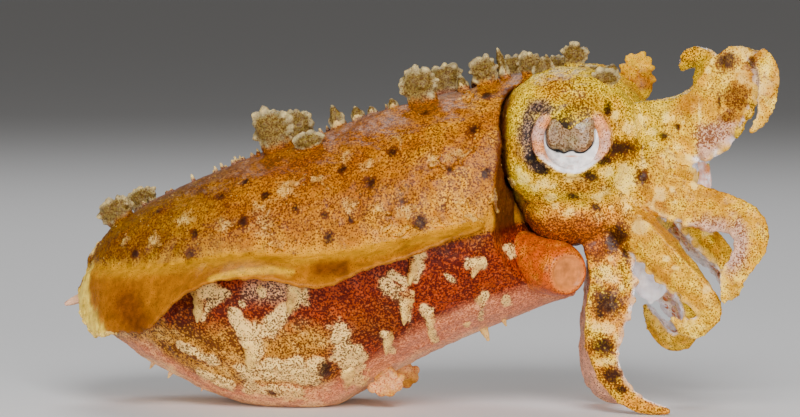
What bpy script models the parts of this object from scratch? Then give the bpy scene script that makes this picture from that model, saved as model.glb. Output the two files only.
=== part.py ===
"""A stumpy-spined cuttlefish at life size, walking on its belly and its two ventral arms.

The scene is in metres with +Z up. The animal faces +X and its right side is -Y.
The origin is the middle of the flat on which the belly rests.
Every table below is in millimetres, and each mesh is brought to metres as it is finished.
"""

import math

import bmesh
import bpy
from mathutils import Matrix, Vector

MM = 0.001
GAP = 0.3
RIGHT, LEFT = -1, 1
SIDES = {"right": RIGHT, "left": LEFT}

# The mantle, from the tail to the front rim.
# Each row is the place along X, the height of the back, of the fin's root and of the belly, and half the width.
MANTLE = (
    (-26.8, 17.6, 15.4, 12.6, 1.8),
    (-25.2, 20.2, 16.1, 9.4, 5.2),
    (-21.5, 23.4, 16.3, 6.4, 9.4),
    (-16.5, 26.1, 16.8, 3.6, 12.3),
    (-10.5, 28.6, 17.7, 1.0, 14.5),
    (-4.0, 31.3, 18.6, -0.8, 15.9),
    (3.0, 33.5, 18.6, -0.6, 16.5),
    (10.0, 36.1, 19.5, 3.5, 16.5),
    (17.0, 38.1, 21.0, 7.4, 15.8),
    (23.0, 39.9, 22.4, 10.9, 14.6),
    (27.0, 41.0, 23.4, 13.8, 13.4),
)
MANTLE_RINGS = 21
MANTLE_SIDES = 28
SECTION_POWER = 0.92
RIM_START = 0.7
RIM_BACK, RIM_SIDE, RIM_BELLY = 3.0, -1.5, 8.0

# The head's ellipsoids, each with its centre and its three radii. Those with a side to them are mirrored.
HEAD_BODY = ((34.0, 0.0, 31.2), (10.0, 11.5, 10.2))
EYE_BULGE = ((33.6, 7.0, 32.9), (8.8, 7.2, 8.9))
ARM_CROWN = ((39.8, 0.0, 28.4), (7.2, 9.4, 9.0))
ARM_WEB = ((44.8, 5.6, 29.6), (4.4, 3.2, 4.6))
BALL_SIDES, BALL_RINGS = 20, 12
WEB_SIDES, WEB_RINGS = 14, 8

# The eye is a plug in a round opening, with the iris flap raised above a W-shaped pupil.
EYE_CENTRE = (34.9, 8.2, 33.2)
EYE_RADIUS = 6.1
EYE_OPENING = 4.3
EYE_FLOOR = 10.6
EYE_OUTSIDE = 16.0
IRIS_FLAP_RADIUS, IRIS_FLAP_UP, IRIS_FLAP_RAISE = 3.0, 1.7, 0.35
PUPIL = ((-3.2, 2.2), (-2.7, 0.0), (-1.7, -1.2), (-0.7, -1.4), (0.1, -0.9), (1.0, -1.4), (2.2, -1.2), (3.1, 0.0), (3.4, 2.2))
PUPIL_GROOVE, PUPIL_STEPS = 0.28, 16
EYE_SIDES, EYE_RINGS, BARREL_SIDES = 18, 10, 20
LID_RADIUS, LID_THICKNESS, LID_SINK = 4.75, 0.62, 0.15
LID_STEPS, LID_SIDES = 18, 5

# The fins, from the mantle's front to the tail: share of the way, width, droop of the edge below the root.
FIN = (
    (0.00, 1.2, 0.2),
    (0.12, 3.6, 0.8),
    (0.25, 4.6, 2.2),
    (0.36, 5.2, 2.9),
    (0.50, 5.6, 1.6),
    (0.58, 6.1, 3.2),
    (0.64, 6.7, 5.0),
    (0.70, 7.9, 7.0),
    (0.76, 7.9, 7.4),
    (0.82, 7.6, 7.2),
    (0.88, 6.9, 6.7),
    (0.93, 5.6, 5.4),
    (0.97, 4.0, 3.8),
    (1.00, 2.2, 2.0),
)
FIN_STATIONS, FIN_ROOT_POINTS = 31, 120
FIN_ACROSS = (0.0, 0.3, 0.65, 1.0)
FIN_ROOT_THICKNESS, FIN_EDGE_THICKNESS = 1.4, 0.55
FIN_FRONT, FIN_END, FIN_OVERLAP = 25.2, 1.1, 0.6
FIN_RIPPLE, FIN_RIPPLES = 0.35, 11

SPINE_ROOT, SPINE_TIP = (-26.4, 0.0, 13.4), (-30.2, 0.0, 11.9)
SPINE_RADIUS, SPINE_TIP_RADIUS = 0.75, 0.28

# The funnel's way out of the mantle, and its radius at each place.
FUNNEL = (
    (26.6, -4.4, 18.4, 3.6),
    (29.6, -5.9, 18.0, 3.5),
    (32.0, -7.8, 17.6, 3.4),
    (33.4, -9.6, 17.2, 3.0),
    (34.0, -10.4, 17.1, 2.5),
)
FUNNEL_SIDES = 18
FUNNEL_MOUTH, FUNNEL_MOUTH_DEPTH = 1.75, 3.0

# The buccal mass in a hollow in the middle of the arms, and the ends of the two feeding tentacles.
MOUTH_HOLLOW = ((50.0, 0.0, 27.8), (5.0, 4.2, 4.6))
MOUTH = ((46.8, 0.0, 27.8), (2.9, 2.9, 2.9))
MOUTH_SIDES, MOUTH_RINGS = 16, 9
LIP_RADIUS, LIP_THICKNESS, LIP_STEPS = 1.5, 0.5, 13
TENTACLE = (
    (41.2, 2.25, 22.0, 1.5),
    (41.9, 2.25, 19.0, 1.8),
    (42.5, 2.25, 16.6, 1.95),
    (42.8, 2.25, 15.0, 1.8),
    (43.0, 2.25, 13.9, 1.2),
    (43.0, 2.25, 13.3, 0.4),
)
TENTACLE_SIDES = 12

# An arm's section, from the keel on its outer side to the middle of the face that bears the suckers.
# The first number is across the arm in half widths, and the second in half depths towards the suckers.
ARM_SECTION = (
    (0.10, -1.25),
    (0.42, -0.80),
    (0.86, -0.30),
    (1.00, 0.25),
    (1.12, 0.82),
    (0.62, 0.70),
)
ARM_SECTION_MIDDLE = 0.60
ARM_STEP = 1.7
SUCKER_STEP, SUCKER_ACROSS, SUCKER_SINK = 3.4, 0.36, 0.35
SUCKER_RADIUS, SUCKER_HEIGHT, SUCKER_SIDES = 0.48, 0.45, 5

# Each arm bends towards its suckers, clockwise or not as seen from the right.
# A row is a point on the arm, half its depth, half its width, and how far the suckers turn to the midline.
CLOCKWISE, ANTICLOCKWISE = 1, -1
ARMS = {
    "arm_1_right": (
        CLOCKWISE,
        (
            (40.3, -3.5, 32.6, 3.6, 2.3, 15),
            (43.7, -4.5, 33.2, 3.7, 2.3, 15),
            (47.4, -5.6, 33.5, 3.7, 2.2, 15),
            (50.3, -6.8, 34.5, 3.8, 2.1, 12),
            (52.5, -7.8, 36.4, 3.7, 2.0, 8),
            (53.8, -8.7, 38.8, 3.6, 1.8, 5),
            (55.2, -9.6, 41.4, 3.5, 1.4, 0),
            (55.9, -10.2, 43.9, 2.3, 0.8, 0),
        ),
        (0.20, 0.44, 0.68),
    ),
    "arm_2_right": (
        CLOCKWISE,
        (
            (40.6, -5.8, 28.4, 2.7, 2.0, 30),
            (43.6, -6.8, 27.5, 2.6, 2.1, 30),
            (46.8, -7.8, 26.0, 2.4, 2.0, 25),
            (50.0, -8.6, 24.7, 2.2, 1.9, 15),
            (53.0, -9.6, 24.1, 2.1, 1.8, 10),
            (55.2, -10.5, 23.1, 1.95, 1.6, 8),
            (55.9, -11.3, 21.1, 1.85, 1.4, 5),
            (55.0, -12.0, 18.9, 1.6, 1.1, 5),
            (53.9, -12.4, 17.1, 1.3, 0.9, 5),
            (53.3, -12.6, 15.4, 1.0, 0.7, 5),
            (52.8, -12.7, 13.8, 0.4, 0.35, 5),
        ),
        (0.16, 0.48, 0.72),
    ),
    "arm_3_right": (
        CLOCKWISE,
        (
            (38.8, -6.4, 25.6, 2.2, 2.4, 60),
            (41.6, -7.9, 23.1, 2.2, 2.4, 60),
            (44.9, -8.9, 20.2, 2.1, 2.3, 60),
            (47.5, -9.6, 17.5, 1.8, 2.1, 55),
            (49.8, -9.9, 15.2, 1.5, 1.7, 45),
            (51.2, -9.9, 12.8, 1.2, 1.35, 25),
            (49.7, -9.5, 10.8, 1.0, 1.1, 15),
            (47.8, -9.1, 10.8, 0.9, 0.9, 15),
            (46.3, -8.8, 11.9, 0.3, 0.35, 15),
        ),
        (0.19, 0.50, 0.74),
    ),
    "arm_4_right": (
        ANTICLOCKWISE,
        (
            (37.0, -4.8, 24.6, 2.2, 2.3, 40),
            (37.8, -6.0, 20.6, 2.3, 2.4, 40),
            (38.9, -7.0, 16.6, 2.4, 2.4, 40),
            (38.6, -7.7, 12.8, 2.35, 2.3, 35),
            (38.0, -8.0, 9.6, 2.0, 2.0, 30),
            (38.3, -8.0, 6.6, 1.5, 1.6, 25),
            (39.6, -8.0, 3.7, 1.2, 1.3, 20),
            (41.8, -8.0, 1.7, 1.05, 1.1, 15),
            (44.2, -8.0, 0.85, 0.8, 0.9, 10),
            (46.2, -8.0, 0.5, 0.4, 0.5, 10),
        ),
        (0.15, 0.46, 0.74),
    ),
    "arm_1_left": (
        CLOCKWISE,
        (
            (40.3, 3.5, 33.0, 3.2, 2.2, 15),
            (43.3, 4.9, 33.9, 3.0, 2.1, 15),
            (46.6, 6.6, 35.2, 2.7, 2.0, 15),
            (48.9, 8.4, 37.4, 2.4, 1.8, 10),
            (49.2, 10.2, 39.8, 2.2, 1.5, 5),
            (48.3, 11.8, 41.9, 1.9, 1.2, 0),
            (46.6, 12.8, 42.7, 1.5, 0.9, 0),
            (45.2, 13.3, 41.8, 0.9, 0.6, 0),
            (44.8, 13.5, 40.7, 0.3, 0.35, 0),
        ),
        (0.20, 0.48, 0.74),
    ),
    "arm_2_left": (
        CLOCKWISE,
        (
            (40.4, 5.6, 28.4, 2.5, 2.0, 35),
            (42.8, 6.9, 25.8, 2.5, 2.0, 35),
            (45.2, 8.1, 22.8, 2.3, 1.9, 35),
            (47.4, 9.4, 20.0, 2.0, 1.8, 30),
            (49.5, 10.6, 17.9, 1.8, 1.6, 25),
            (50.9, 11.3, 15.8, 1.6, 1.3, 20),
            (51.0, 11.5, 13.9, 1.3, 1.0, 15),
            (50.3, 11.4, 12.4, 0.4, 0.4, 15),
        ),
        (0.19, 0.48, 0.74),
    ),
    "arm_3_left": (
        CLOCKWISE,
        (
            (38.6, 5.4, 25.0, 2.2, 2.4, 55),
            (40.4, 6.7, 21.5, 2.2, 2.4, 55),
            (42.1, 7.4, 17.8, 2.0, 2.3, 50),
            (44.0, 7.9, 14.4, 1.8, 2.1, 45),
            (45.8, 8.3, 11.6, 1.6, 2.0, 30),
            (46.2, 8.7, 9.3, 1.5, 1.8, 15),
            (44.8, 8.9, 7.9, 1.3, 1.5, 10),
            (43.1, 9.0, 8.8, 1.2, 1.2, 10),
            (41.8, 9.0, 10.5, 0.9, 0.8, 10),
            (40.8, 9.0, 12.2, 0.3, 0.35, 10),
        ),
        (0.17, 0.46, 0.70),
    ),
    "arm_4_left": (
        ANTICLOCKWISE,
        (
            (36.4, 4.3, 24.2, 2.2, 2.3, 40),
            (36.3, 4.9, 20.5, 2.3, 2.4, 40),
            (36.2, 5.3, 16.6, 2.3, 2.3, 40),
            (35.7, 5.7, 12.4, 2.2, 2.2, 35),
            (35.2, 6.0, 8.6, 2.0, 2.0, 30),
            (35.1, 6.0, 5.6, 1.8, 1.8, 25),
            (35.7, 5.8, 2.9, 1.55, 1.6, 20),
            (37.1, 5.6, 1.5, 1.25, 1.3, 15),
            (39.0, 5.4, 0.85, 0.9, 0.9, 10),
            (40.4, 5.3, 0.55, 0.4, 0.45, 10),
        ),
        (0.15, 0.46, 0.74),
    ),
}
LENGTH_NAMES = ("base", "middle", "tip")

# The curled end of the right dorsal arm hangs beside its broad lobe.
CURLED_END = (
    (56.4, -10.8, 43.3, 1.2, 0.9, 0),
    (57.6, -11.4, 42.0, 1.3, 0.9, 0),
    (58.0, -12.0, 40.2, 1.3, 0.8, 0),
    (57.8, -12.4, 38.2, 1.1, 0.7, 0),
    (57.6, -12.5, 36.4, 0.8, 0.5, 0),
    (56.9, -12.4, 35.0, 0.5, 0.4, 0),
    (55.9, -12.2, 34.2, 0.3, 0.35, 0),
)

# Papillae of the back: place along X, degrees round from the left side, width, height, and lobes of the rim.
BACK_PAPILLAE = (
    (-22.6, 106, 5.0, 3.0, 5),
    (-21.0, 74, 4.2, 2.5, 5),
    (-2.6, 104, 6.2, 5.4, 7),
    (-0.9, 76, 5.0, 4.4, 5),
    (3.4, 112, 4.4, 2.6, 5),
    (7.0, 96, 2.8, 2.4, 3),
    (15.3, 104, 5.6, 4.6, 7),
    (17.2, 76, 5.2, 4.4, 5),
    (22.8, 101, 5.2, 3.8, 7),
    (25.8, 78, 4.4, 3.0, 5),
)
PAPILLA_THICKNESS, PAPILLA_SINK = 1.7, 0.9
PAPILLA_SIDES, PAPILLA_RINGS = 9, 4
PAPILLA_STEM = 0.55

# Small knobs in two rows beside the crest, then three rows down each flank.
CREST_KNOBS = (-19.0, -14.6, -12.2, -9.6, -7.2, 4.6, 7.0, 9.4, 11.6, 19.8)
CREST_KNOB_ANGLE, CREST_KNOB_RADIUS, CREST_KNOB_HEIGHT = 94, 0.6, 1.3
FLANK_ROWS = ((124, (-18, -11, -4, 5, 13, 20)), (142, (-20, -12, -5, 3, 11, 19)), (158, (-16, -8, 1, 10)))
FLANK_KNOB_RADIUS, FLANK_KNOB_HEIGHT = 0.8, 0.7
KNOB_SIDES = 5

# Tongues on the belly's sides point down: place along X, degrees below the fin, and length.
TONGUES = (
    (-15.0, 34, 2.2),
    (-8.5, 22, 3.0),
    (0.5, 24, 3.2),
    (8.0, 40, 3.6),
    (12.5, 28, 3.4),
    (17.0, 52, 3.4),
    (21.5, 24, 3.0),
    (23.5, 44, 3.2),
)
TONGUE_WIDTH, TONGUE_THICKNESS, TONGUE_LIFT, TONGUE_SIDES = 1.9, 1.1, 0.5, 5

# The walking flaps under the belly.
FLAP_X, FLAP_ANGLE = 11.6, -74
FLAP_WIDTH, FLAP_LENGTH, FLAP_THICKNESS = 4.4, 4.0, 0.9

# Papillae of the head: the foot, the way that it points, width, height, thickness and lobes.
HEAD_PAPILLAE = (
    ((33.2, 0.8, 41.0), (0.0, 0.0, 1.0), 4.2, 3.2, 1.5, 5),
    ((30.8, -6.2, 40.9), (0.0, -0.3, 1.0), 3.0, 2.4, 1.4, 3),
    ((30.4, 6.2, 40.9), (0.0, 0.3, 1.0), 3.0, 2.2, 1.4, 3),
    ((38.4, -8.2, 40.0), (0.2, -0.3, 1.0), 4.4, 2.6, 1.4, 5),
    ((40.2, 7.8, 38.8), (-0.05, 0.2, 1.0), 4.4, 4.2, 1.5, 5),
    ((36.2, -2.8, 40.9), (0.1, -0.1, 1.0), 1.8, 1.3, 1.2, 3),
    ((37.6, 3.0, 40.6), (0.2, 0.1, 1.0), 1.8, 1.3, 1.2, 3),
)

COLOURS = {
    "skin_back": (0.55, 0.30, 0.06),
    "skin_head": (0.50, 0.36, 0.10),
    "skin_arm": (0.60, 0.42, 0.14),
    "fin": (0.62, 0.38, 0.05),
    "funnel": (0.70, 0.26, 0.04),
    "pale_flesh": (0.72, 0.66, 0.66),
    "eye": (0.62, 0.55, 0.48),
    "spine": (0.60, 0.58, 0.55),
}


def clear_scene():
    for obj in list(bpy.data.objects):
        bpy.data.objects.remove(obj)


def material_of(name):
    """The named skin or flesh, made once."""
    found = bpy.data.materials.get(name)
    if found:
        return found
    made = bpy.data.materials.new(name)
    made.use_nodes = True
    shader = made.node_tree.nodes["Principled BSDF"]
    shader.inputs["Base Color"].default_value = (*COLOURS[name], 1.0)
    shader.inputs["Roughness"].default_value = 0.45
    return made


def collection_of(name):
    found = bpy.data.collections.get(name)
    if found:
        return found
    made = bpy.data.collections.new(name)
    bpy.context.scene.collection.children.link(made)
    return made


def finished(bm, name, material=None, collection="helpers"):
    """The bmesh, in millimetres, as an object in metres with its faces out."""
    bmesh.ops.recalc_face_normals(bm, faces=bm.faces)
    bmesh.ops.scale(bm, vec=(MM, MM, MM), verts=bm.verts)
    mesh = bpy.data.meshes.new(name)
    bm.to_mesh(mesh)
    bm.free()
    obj = bpy.data.objects.new(name, mesh)
    collection_of(collection).objects.link(obj)
    if material:
        mesh.materials.append(material_of(material))
    return obj


def between(rows, share):
    """The row at a share of the way on a smooth curve through the rows."""
    last = len(rows) - 1
    place = min(max(share, 0.0), 1.0) * last
    i = min(int(place), last - 1)
    u = place - i
    near = [rows[min(max(k, 0), last)] for k in (i - 1, i, i + 1, i + 2)]
    return [
        0.5 * (2 * q + (r - p) * u + (2 * p - 5 * q + 4 * r - s) * u**2 + (3 * q - 3 * r + s - p) * u**3)
        for p, q, r, s in zip(*near)
    ]


def share_at(rows, value):
    """How far along the rows their first number reaches the value."""
    low, high = 0.0, 1.0
    for _ in range(40):
        middle = (low + high) / 2
        if between(rows, middle)[0] < value:
            low = middle
        else:
            high = middle
    return low


def power(value):
    return math.copysign(abs(value) ** SECTION_POWER, value)


def mantle_point(share, degrees):
    """A point of the mantle's skin. Degrees go round from its left side over the back."""
    x, back, side, belly, half = between(MANTLE, share)
    c, s = math.cos(math.radians(degrees)), math.sin(math.radians(degrees))
    rim = max(0.0, (share - RIM_START) / (1 - RIM_START)) ** 2
    lean = RIM_SIDE + RIM_BACK * max(s, 0) ** 2 + RIM_BELLY * max(-s, 0) ** 3
    reach = back - side if s > 0 else side - belly
    return Vector((x + rim * lean, half * power(c), max(side + reach * power(s), 0.0)))


def mantle_normal(share, degrees):
    along = mantle_point(share + 0.01, degrees) - mantle_point(share - 0.01, degrees)
    round_it = mantle_point(share, degrees + 1) - mantle_point(share, degrees - 1)
    return round_it.cross(along).normalized()


def loft(rings, bm=None):
    """A closed skin over rings of as many points, each end closed by a fan."""
    bm = bm or bmesh.new()
    made = [[bm.verts.new(point) for point in ring] for ring in rings]
    count = len(made[0])
    for first, second in zip(made, made[1:]):
        for j in range(count):
            k = (j + 1) % count
            bm.faces.new((first[j], first[k], second[k], second[j]))
    for ring in (made[0], made[-1]):
        middle = bm.verts.new(sum((v.co for v in ring), Vector()) / count)
        for j in range(count):
            bm.faces.new((ring[j], ring[(j + 1) % count], middle))
    return bm


def ball(centre, radii, swell=0.0, sides=BALL_SIDES, rings=BALL_RINGS):
    """An ellipsoid whose poles lie on its X axis."""
    bm = bmesh.new()
    turn = Matrix.Rotation(math.radians(90), 4, "Y")
    size = Matrix.Diagonal([*(r + swell for r in radii), 1.0])
    bmesh.ops.create_uvsphere(
        bm, u_segments=sides, v_segments=rings, radius=1.0, matrix=Matrix.Translation(centre) @ size @ turn
    )
    return bm


def mirrored(point, side):
    return (point[0], side * point[1], point[2])


def tube(rows, sides, swell=0.0):
    """A round tube through rows of a point and a radius, with flat ends."""
    rings = []
    for i, row in enumerate(rows):
        before, after = rows[max(i - 1, 0)], rows[min(i + 1, len(rows) - 1)]
        along = Vector(after[:3]) - Vector(before[:3])
        turn = along.to_track_quat("Z", "X").to_matrix()
        radius = row[3] + swell
        rings.append(
            [
                Vector(row[:3]) + turn @ Vector((radius * math.cos(a), radius * math.sin(a), 0))
                for a in (math.tau * j / sides for j in range(sides))
            ]
        )
    return loft(rings)


def ring_tube(rows, axis, sides):
    """A closed ring through rows of a point, the way out from the ring's middle, and a radius."""
    bm = bmesh.new()
    made = []
    for middle, out, radius in rows:
        turns = [math.tau * j / sides for j in range(sides)]
        made.append(
            [bm.verts.new(middle + out * (radius * math.cos(b)) + axis * (radius * math.sin(b))) for b in turns]
        )
    for first, second in zip(made, made[1:] + made[:1]):
        for j in range(sides):
            k = (j + 1) % sides
            bm.faces.new((first[j], first[k], second[k], second[j]))
    return bm


def apply_boolean(obj, others, operation, solver="EXACT"):
    """One Boolean with a collection of pieces, which are then removed. Only the largest surface stays."""
    pieces = bpy.data.collections.new("pieces")
    bpy.context.scene.collection.children.link(pieces)
    for other in others:
        for holder in list(other.users_collection):
            holder.objects.unlink(other)
        pieces.objects.link(other)
    modifier = obj.modifiers.new(operation.lower(), "BOOLEAN")
    modifier.operation = operation
    modifier.operand_type = "COLLECTION"
    modifier.collection = pieces
    modifier.solver = solver
    bpy.context.view_layer.update()
    graph = bpy.context.evaluated_depsgraph_get()
    mesh = bpy.data.meshes.new_from_object(obj.evaluated_get(graph))
    obj.modifiers.remove(modifier)
    obj.data = mesh
    for other in list(pieces.objects):
        bpy.data.objects.remove(other)
    bpy.data.collections.remove(pieces)
    keep_largest(obj)
    return obj


def keep_largest(obj):
    """Drops every closed surface but the largest, which fills a sealed hollow and drops a scrap."""
    bm = bmesh.new()
    bm.from_mesh(obj.data)
    bm.verts.ensure_lookup_table()
    left = set(bm.verts)
    shells = []
    while left:
        start = left.pop()
        shell, edge = {start}, [start]
        while edge:
            vert = edge.pop()
            for link in vert.link_edges:
                other = link.other_vert(vert)
                if other in left:
                    left.discard(other)
                    shell.add(other)
                    edge.append(other)
        shells.append(shell)
    largest = max(shells, key=len)
    drop = [v for v in bm.verts if v not in largest]
    bmesh.ops.delete(bm, geom=drop, context="VERTS")
    bm.to_mesh(obj.data)
    bm.free()


def papilla(foot, up, width, height, thickness, lobes, sides=PAPILLA_SIDES, rings=PAPILLA_RINGS):
    """A fleshy fan on a short stem, flat along X, with a lobed rim."""
    up = Vector(up).normalized()
    along = Vector((1, 0, 0))
    along = (along - up * along.dot(up)).normalized()
    across = up.cross(along)
    bm = bmesh.new()
    turn = Matrix.Rotation(math.radians(90), 4, "X")
    bmesh.ops.create_uvsphere(bm, u_segments=sides, v_segments=rings, radius=1.0, matrix=turn)
    whole = height + PAPILLA_SINK
    middle = Vector(foot) + up * (whole / 2 - PAPILLA_SINK)
    for vert in bm.verts:
        u, t, v = vert.co
        edge = math.hypot(u, v)
        ripple = 1 + 0.13 * edge * math.cos(lobes * math.atan2(u, v)) * (v > -0.3)
        stem = PAPILLA_STEM + (1 - PAPILLA_STEM) * min(1.0, (v + 1.0) / 1.1)
        vert.co = (
            middle
            + along * (u * ripple * stem * width / 2)
            + up * (v * ripple * whole / 2)
            + across * (t * thickness / 2)
        )
    return finished(bm, "papilla")


def knob(foot, up, radius, height):
    """A low pointed knob of a few sides, rooted in the skin."""
    bm = bmesh.new()
    turn = Vector(up).to_track_quat("Z", "X").to_matrix().to_4x4()
    place = Matrix.Translation(Vector(foot) + Vector(up) * (height - PAPILLA_SINK) / 2) @ turn
    bmesh.ops.create_cone(
        bm,
        cap_ends=True,
        segments=KNOB_SIDES,
        radius1=radius * 1.3,
        radius2=radius * 0.55,
        depth=height + PAPILLA_SINK,
        matrix=place,
    )
    return finished(bm, "knob")


def tongue(share, degrees, length):
    """A pointed flap that lies down the flank and lifts from it towards its tip."""
    foot = mantle_point(share, degrees)
    up = mantle_normal(share, degrees)
    down = Vector((0, 0, -1))
    down = (down - up * down.dot(up)).normalized()
    lean = (down + up * TONGUE_LIFT).normalized()
    side = lean.cross(up).normalized()
    out = side.cross(lean)
    rings = []
    for at, wide in ((-0.35, 1.0), (0.2, 1.1), (0.7, 0.65), (1.0, 0.22)):
        middle = foot + lean * (at * length) - out * (0.25 * (1 - at))
        ring = []
        for j in range(TONGUE_SIDES):
            a = math.tau * j / TONGUE_SIDES
            across = side * (math.cos(a) * wide * TONGUE_WIDTH / 2)
            ring.append(middle + across + out * (math.sin(a) * max(wide, 0.5) * TONGUE_THICKNESS / 2))
        rings.append(ring)
    return finished(loft(rings), "tongue")


def arm_line(rows):
    """Fine points along an arm, each with its distance from the root."""
    count = 20 * (len(rows) - 1)
    points = [between(rows, i / count) for i in range(count + 1)]
    line, far = [(0.0, points[0])], 0.0
    for before, after in zip(points, points[1:]):
        far += (Vector(after[:3]) - Vector(before[:3])).length
        line.append((far, after))
    return line


def on_line(line, far):
    """The row at a distance along the line."""
    for (a, first), (b, second) in zip(line, line[1:]):
        if far <= b:
            u = (far - a) / (b - a)
            return [p + (q - p) * u for p, q in zip(first, second)]
    return line[-1][1]


def arm_frame(line, far, curl, side):
    """The arm's middle, the way that its suckers face, the way across it, and its half depth and width."""
    row = on_line(line, far)
    length = line[-1][0]
    ahead, behind = on_line(line, min(far + 0.6, length)), on_line(line, max(far - 0.6, 0.0))
    along = (Vector(ahead[:3]) - Vector(behind[:3])).normalized()
    across = Vector((0, 1, 0))
    across = (across - along * across.dot(along)).normalized()
    oral = across.cross(along) * curl
    midline = across * -side
    turn = math.radians(row[5])
    return (
        Vector(row[:3]),
        oral * math.cos(turn) + midline * math.sin(turn),
        midline * math.cos(turn) - oral * math.sin(turn),
        row[3],
        row[4],
    )


def arm_ring(frame, swell=0.0):
    middle, oral, across, depth, width = frame
    half = [(w * (width + swell), d * (depth + swell)) for w, d in ARM_SECTION]
    section = half + [(0.0, ARM_SECTION_MIDDLE * (depth + swell))] + [(-w, d) for w, d in reversed(half)]
    ring = [middle + across * w + oral * d for w, d in section]
    return [Vector((p.x, p.y, max(p.z, 0.0))) for p in ring]


def arm_length(line, start, end, curl, side, swell=0.0):
    """One length of an arm between two distances from its root."""
    steps = max(2, round((end - start) / ARM_STEP))
    places = [start + (end - start) * i / steps for i in range(steps + 1)]
    return loft([arm_ring(arm_frame(line, far, curl, side), swell) for far in places])


def suckers_between(line, start, end, curl, side):
    """Two rows of cup-shaped suckers, smaller towards the tip."""
    made = []
    count = int((end - start - 1.0) / SUCKER_STEP) + 1
    first = start + ((end - start) - (count - 1) * SUCKER_STEP) / 2
    for i in range(count):
        far = first + i * SUCKER_STEP
        middle, oral, across, depth, width = arm_frame(line, far, curl, side)
        size = SUCKER_RADIUS * min(1.0, 0.45 + 0.55 * width / 2.0)
        if width < 0.75:
            continue
        for row in (RIGHT, LEFT):
            foot = middle + across * (row * SUCKER_ACROSS * width) + oral * (0.66 * depth)
            top, low = SUCKER_HEIGHT * size / SUCKER_RADIUS, -SUCKER_SINK
            if foot.z < 1.2:
                continue
            bm = bmesh.new()
            turn = oral.to_track_quat("Z", "X").to_matrix().to_4x4()
            bmesh.ops.create_cone(
                bm,
                cap_ends=True,
                segments=SUCKER_SIDES,
                radius1=size * 0.75,
                radius2=size,
                depth=top - low,
                matrix=Matrix.Translation(foot + oral * (top + low) / 2) @ turn,
            )
            made.append(finished(bm, "sucker"))
    return made


def arm_parts(name):
    """An arm's line, its bend, its side and the distances at which it is cut."""
    curl, rows, cuts = ARMS[name]
    line = arm_line(rows)
    whole = line[-1][0]
    return line, curl, SIDES[name.split("_")[2]], [c * whole for c in cuts] + [whole]


def arm_stub(name, swell=0.0):
    """The root of an arm, which stays with the head."""
    line, curl, side, ends = arm_parts(name)
    return finished(arm_length(line, 0.0, ends[0] + swell, curl, side, swell), "stub")


def build_arms():
    """Every arm in its lengths, face to face, clear of the head and of the other roots."""
    for name in ARMS:
        line, curl, side, ends = arm_parts(name)
        for length_name, start, end in zip(LENGTH_NAMES, ends, ends[1:]):
            start = start + GAP
            obj = finished(
                arm_length(line, start, end, curl, side), f"{name}_{length_name}", "skin_arm", "cuttlefish"
            )
            pieces = suckers_between(line, start, end, curl, side)
            if name == "arm_1_right" and length_name == "tip":
                end_line = arm_line(CURLED_END)
                pieces.append(finished(arm_length(end_line, 0.0, end_line[-1][0], curl, side), "curl"))
            if pieces:
                apply_boolean(obj, pieces, "UNION")
            if length_name == LENGTH_NAMES[0]:
                around = [arm_stub(other, GAP) for other in ARMS if other != name]
                apply_boolean(obj, head_core(GAP) + around, "DIFFERENCE")


def head_core(swell=0.0):
    """The head's own ellipsoids, which also cut what lies against them."""
    found = [ball(*HEAD_BODY, swell), ball(*ARM_CROWN, swell)]
    for side in SIDES.values():
        found.append(ball(mirrored(EYE_BULGE[0], side), EYE_BULGE[1], swell))
        found.append(ball(mirrored(ARM_WEB[0], side), ARM_WEB[1], swell, WEB_SIDES, WEB_RINGS))
    return [finished(bm, "core") for bm in found]


def eye_barrel(side, radius, floor=EYE_FLOOR, middle=EYE_CENTRE, up=0.0):
    """A round bar across the head, from the eye's floor to outside the head."""
    bm = bmesh.new()
    place = Matrix.Translation((middle[0], side * (floor + EYE_OUTSIDE) / 2, middle[2] + up))
    bmesh.ops.create_cone(
        bm,
        cap_ends=True,
        segments=BARREL_SIDES,
        radius1=radius,
        radius2=radius,
        depth=EYE_OUTSIDE - floor,
        matrix=place @ Matrix.Rotation(math.radians(90), 4, "X"),
    )
    return finished(bm, "barrel")


def lid_ring(side):
    """The fleshy rim round the eye's opening, which follows the bulge."""
    (cx, cy, cz), (rx, ry, rz) = EYE_BULGE
    rings = []
    for i in range(LID_STEPS):
        a = math.tau * i / LID_STEPS
        thick = LID_THICKNESS * (1.0 - 0.2 * math.sin(a))
        out = Vector((math.cos(a), 0, math.sin(a)))
        middle = Vector((EYE_CENTRE[0], 0, EYE_CENTRE[2])) + out * LID_RADIUS
        across = 1 - ((middle.x - cx) / rx) ** 2 - ((middle.z - cz) / rz) ** 2
        middle.y = side * (cy + ry * math.sqrt(max(across, 0.0)) - LID_SINK)
        rings.append((middle, out, thick))
    return finished(ring_tube(rings, Vector((0, 1, 0)), LID_SIDES), "lid")


def build_head():
    core = head_core()
    stubs = [arm_stub(name) for name in ARMS]
    obj = core[0]
    obj.name = obj.data.name = "head"
    papillae = [papilla(*row) for row in HEAD_PAPILLAE]
    lids = [lid_ring(side) for side in SIDES.values()]
    apply_boolean(obj, core[1:] + stubs + papillae + lids, "UNION")
    obj.name = "head"
    hollows = [eye_barrel(side, EYE_OPENING) for side in SIDES.values()]
    apply_boolean(obj, hollows + [finished(ball(*MOUTH_HOLLOW), "hollow")], "DIFFERENCE")
    for holder in list(obj.users_collection):
        holder.objects.unlink(obj)
    collection_of("cuttlefish").objects.link(obj)
    obj.data.materials.clear()
    obj.data.materials.append(material_of("skin_head"))
    return obj


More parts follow.
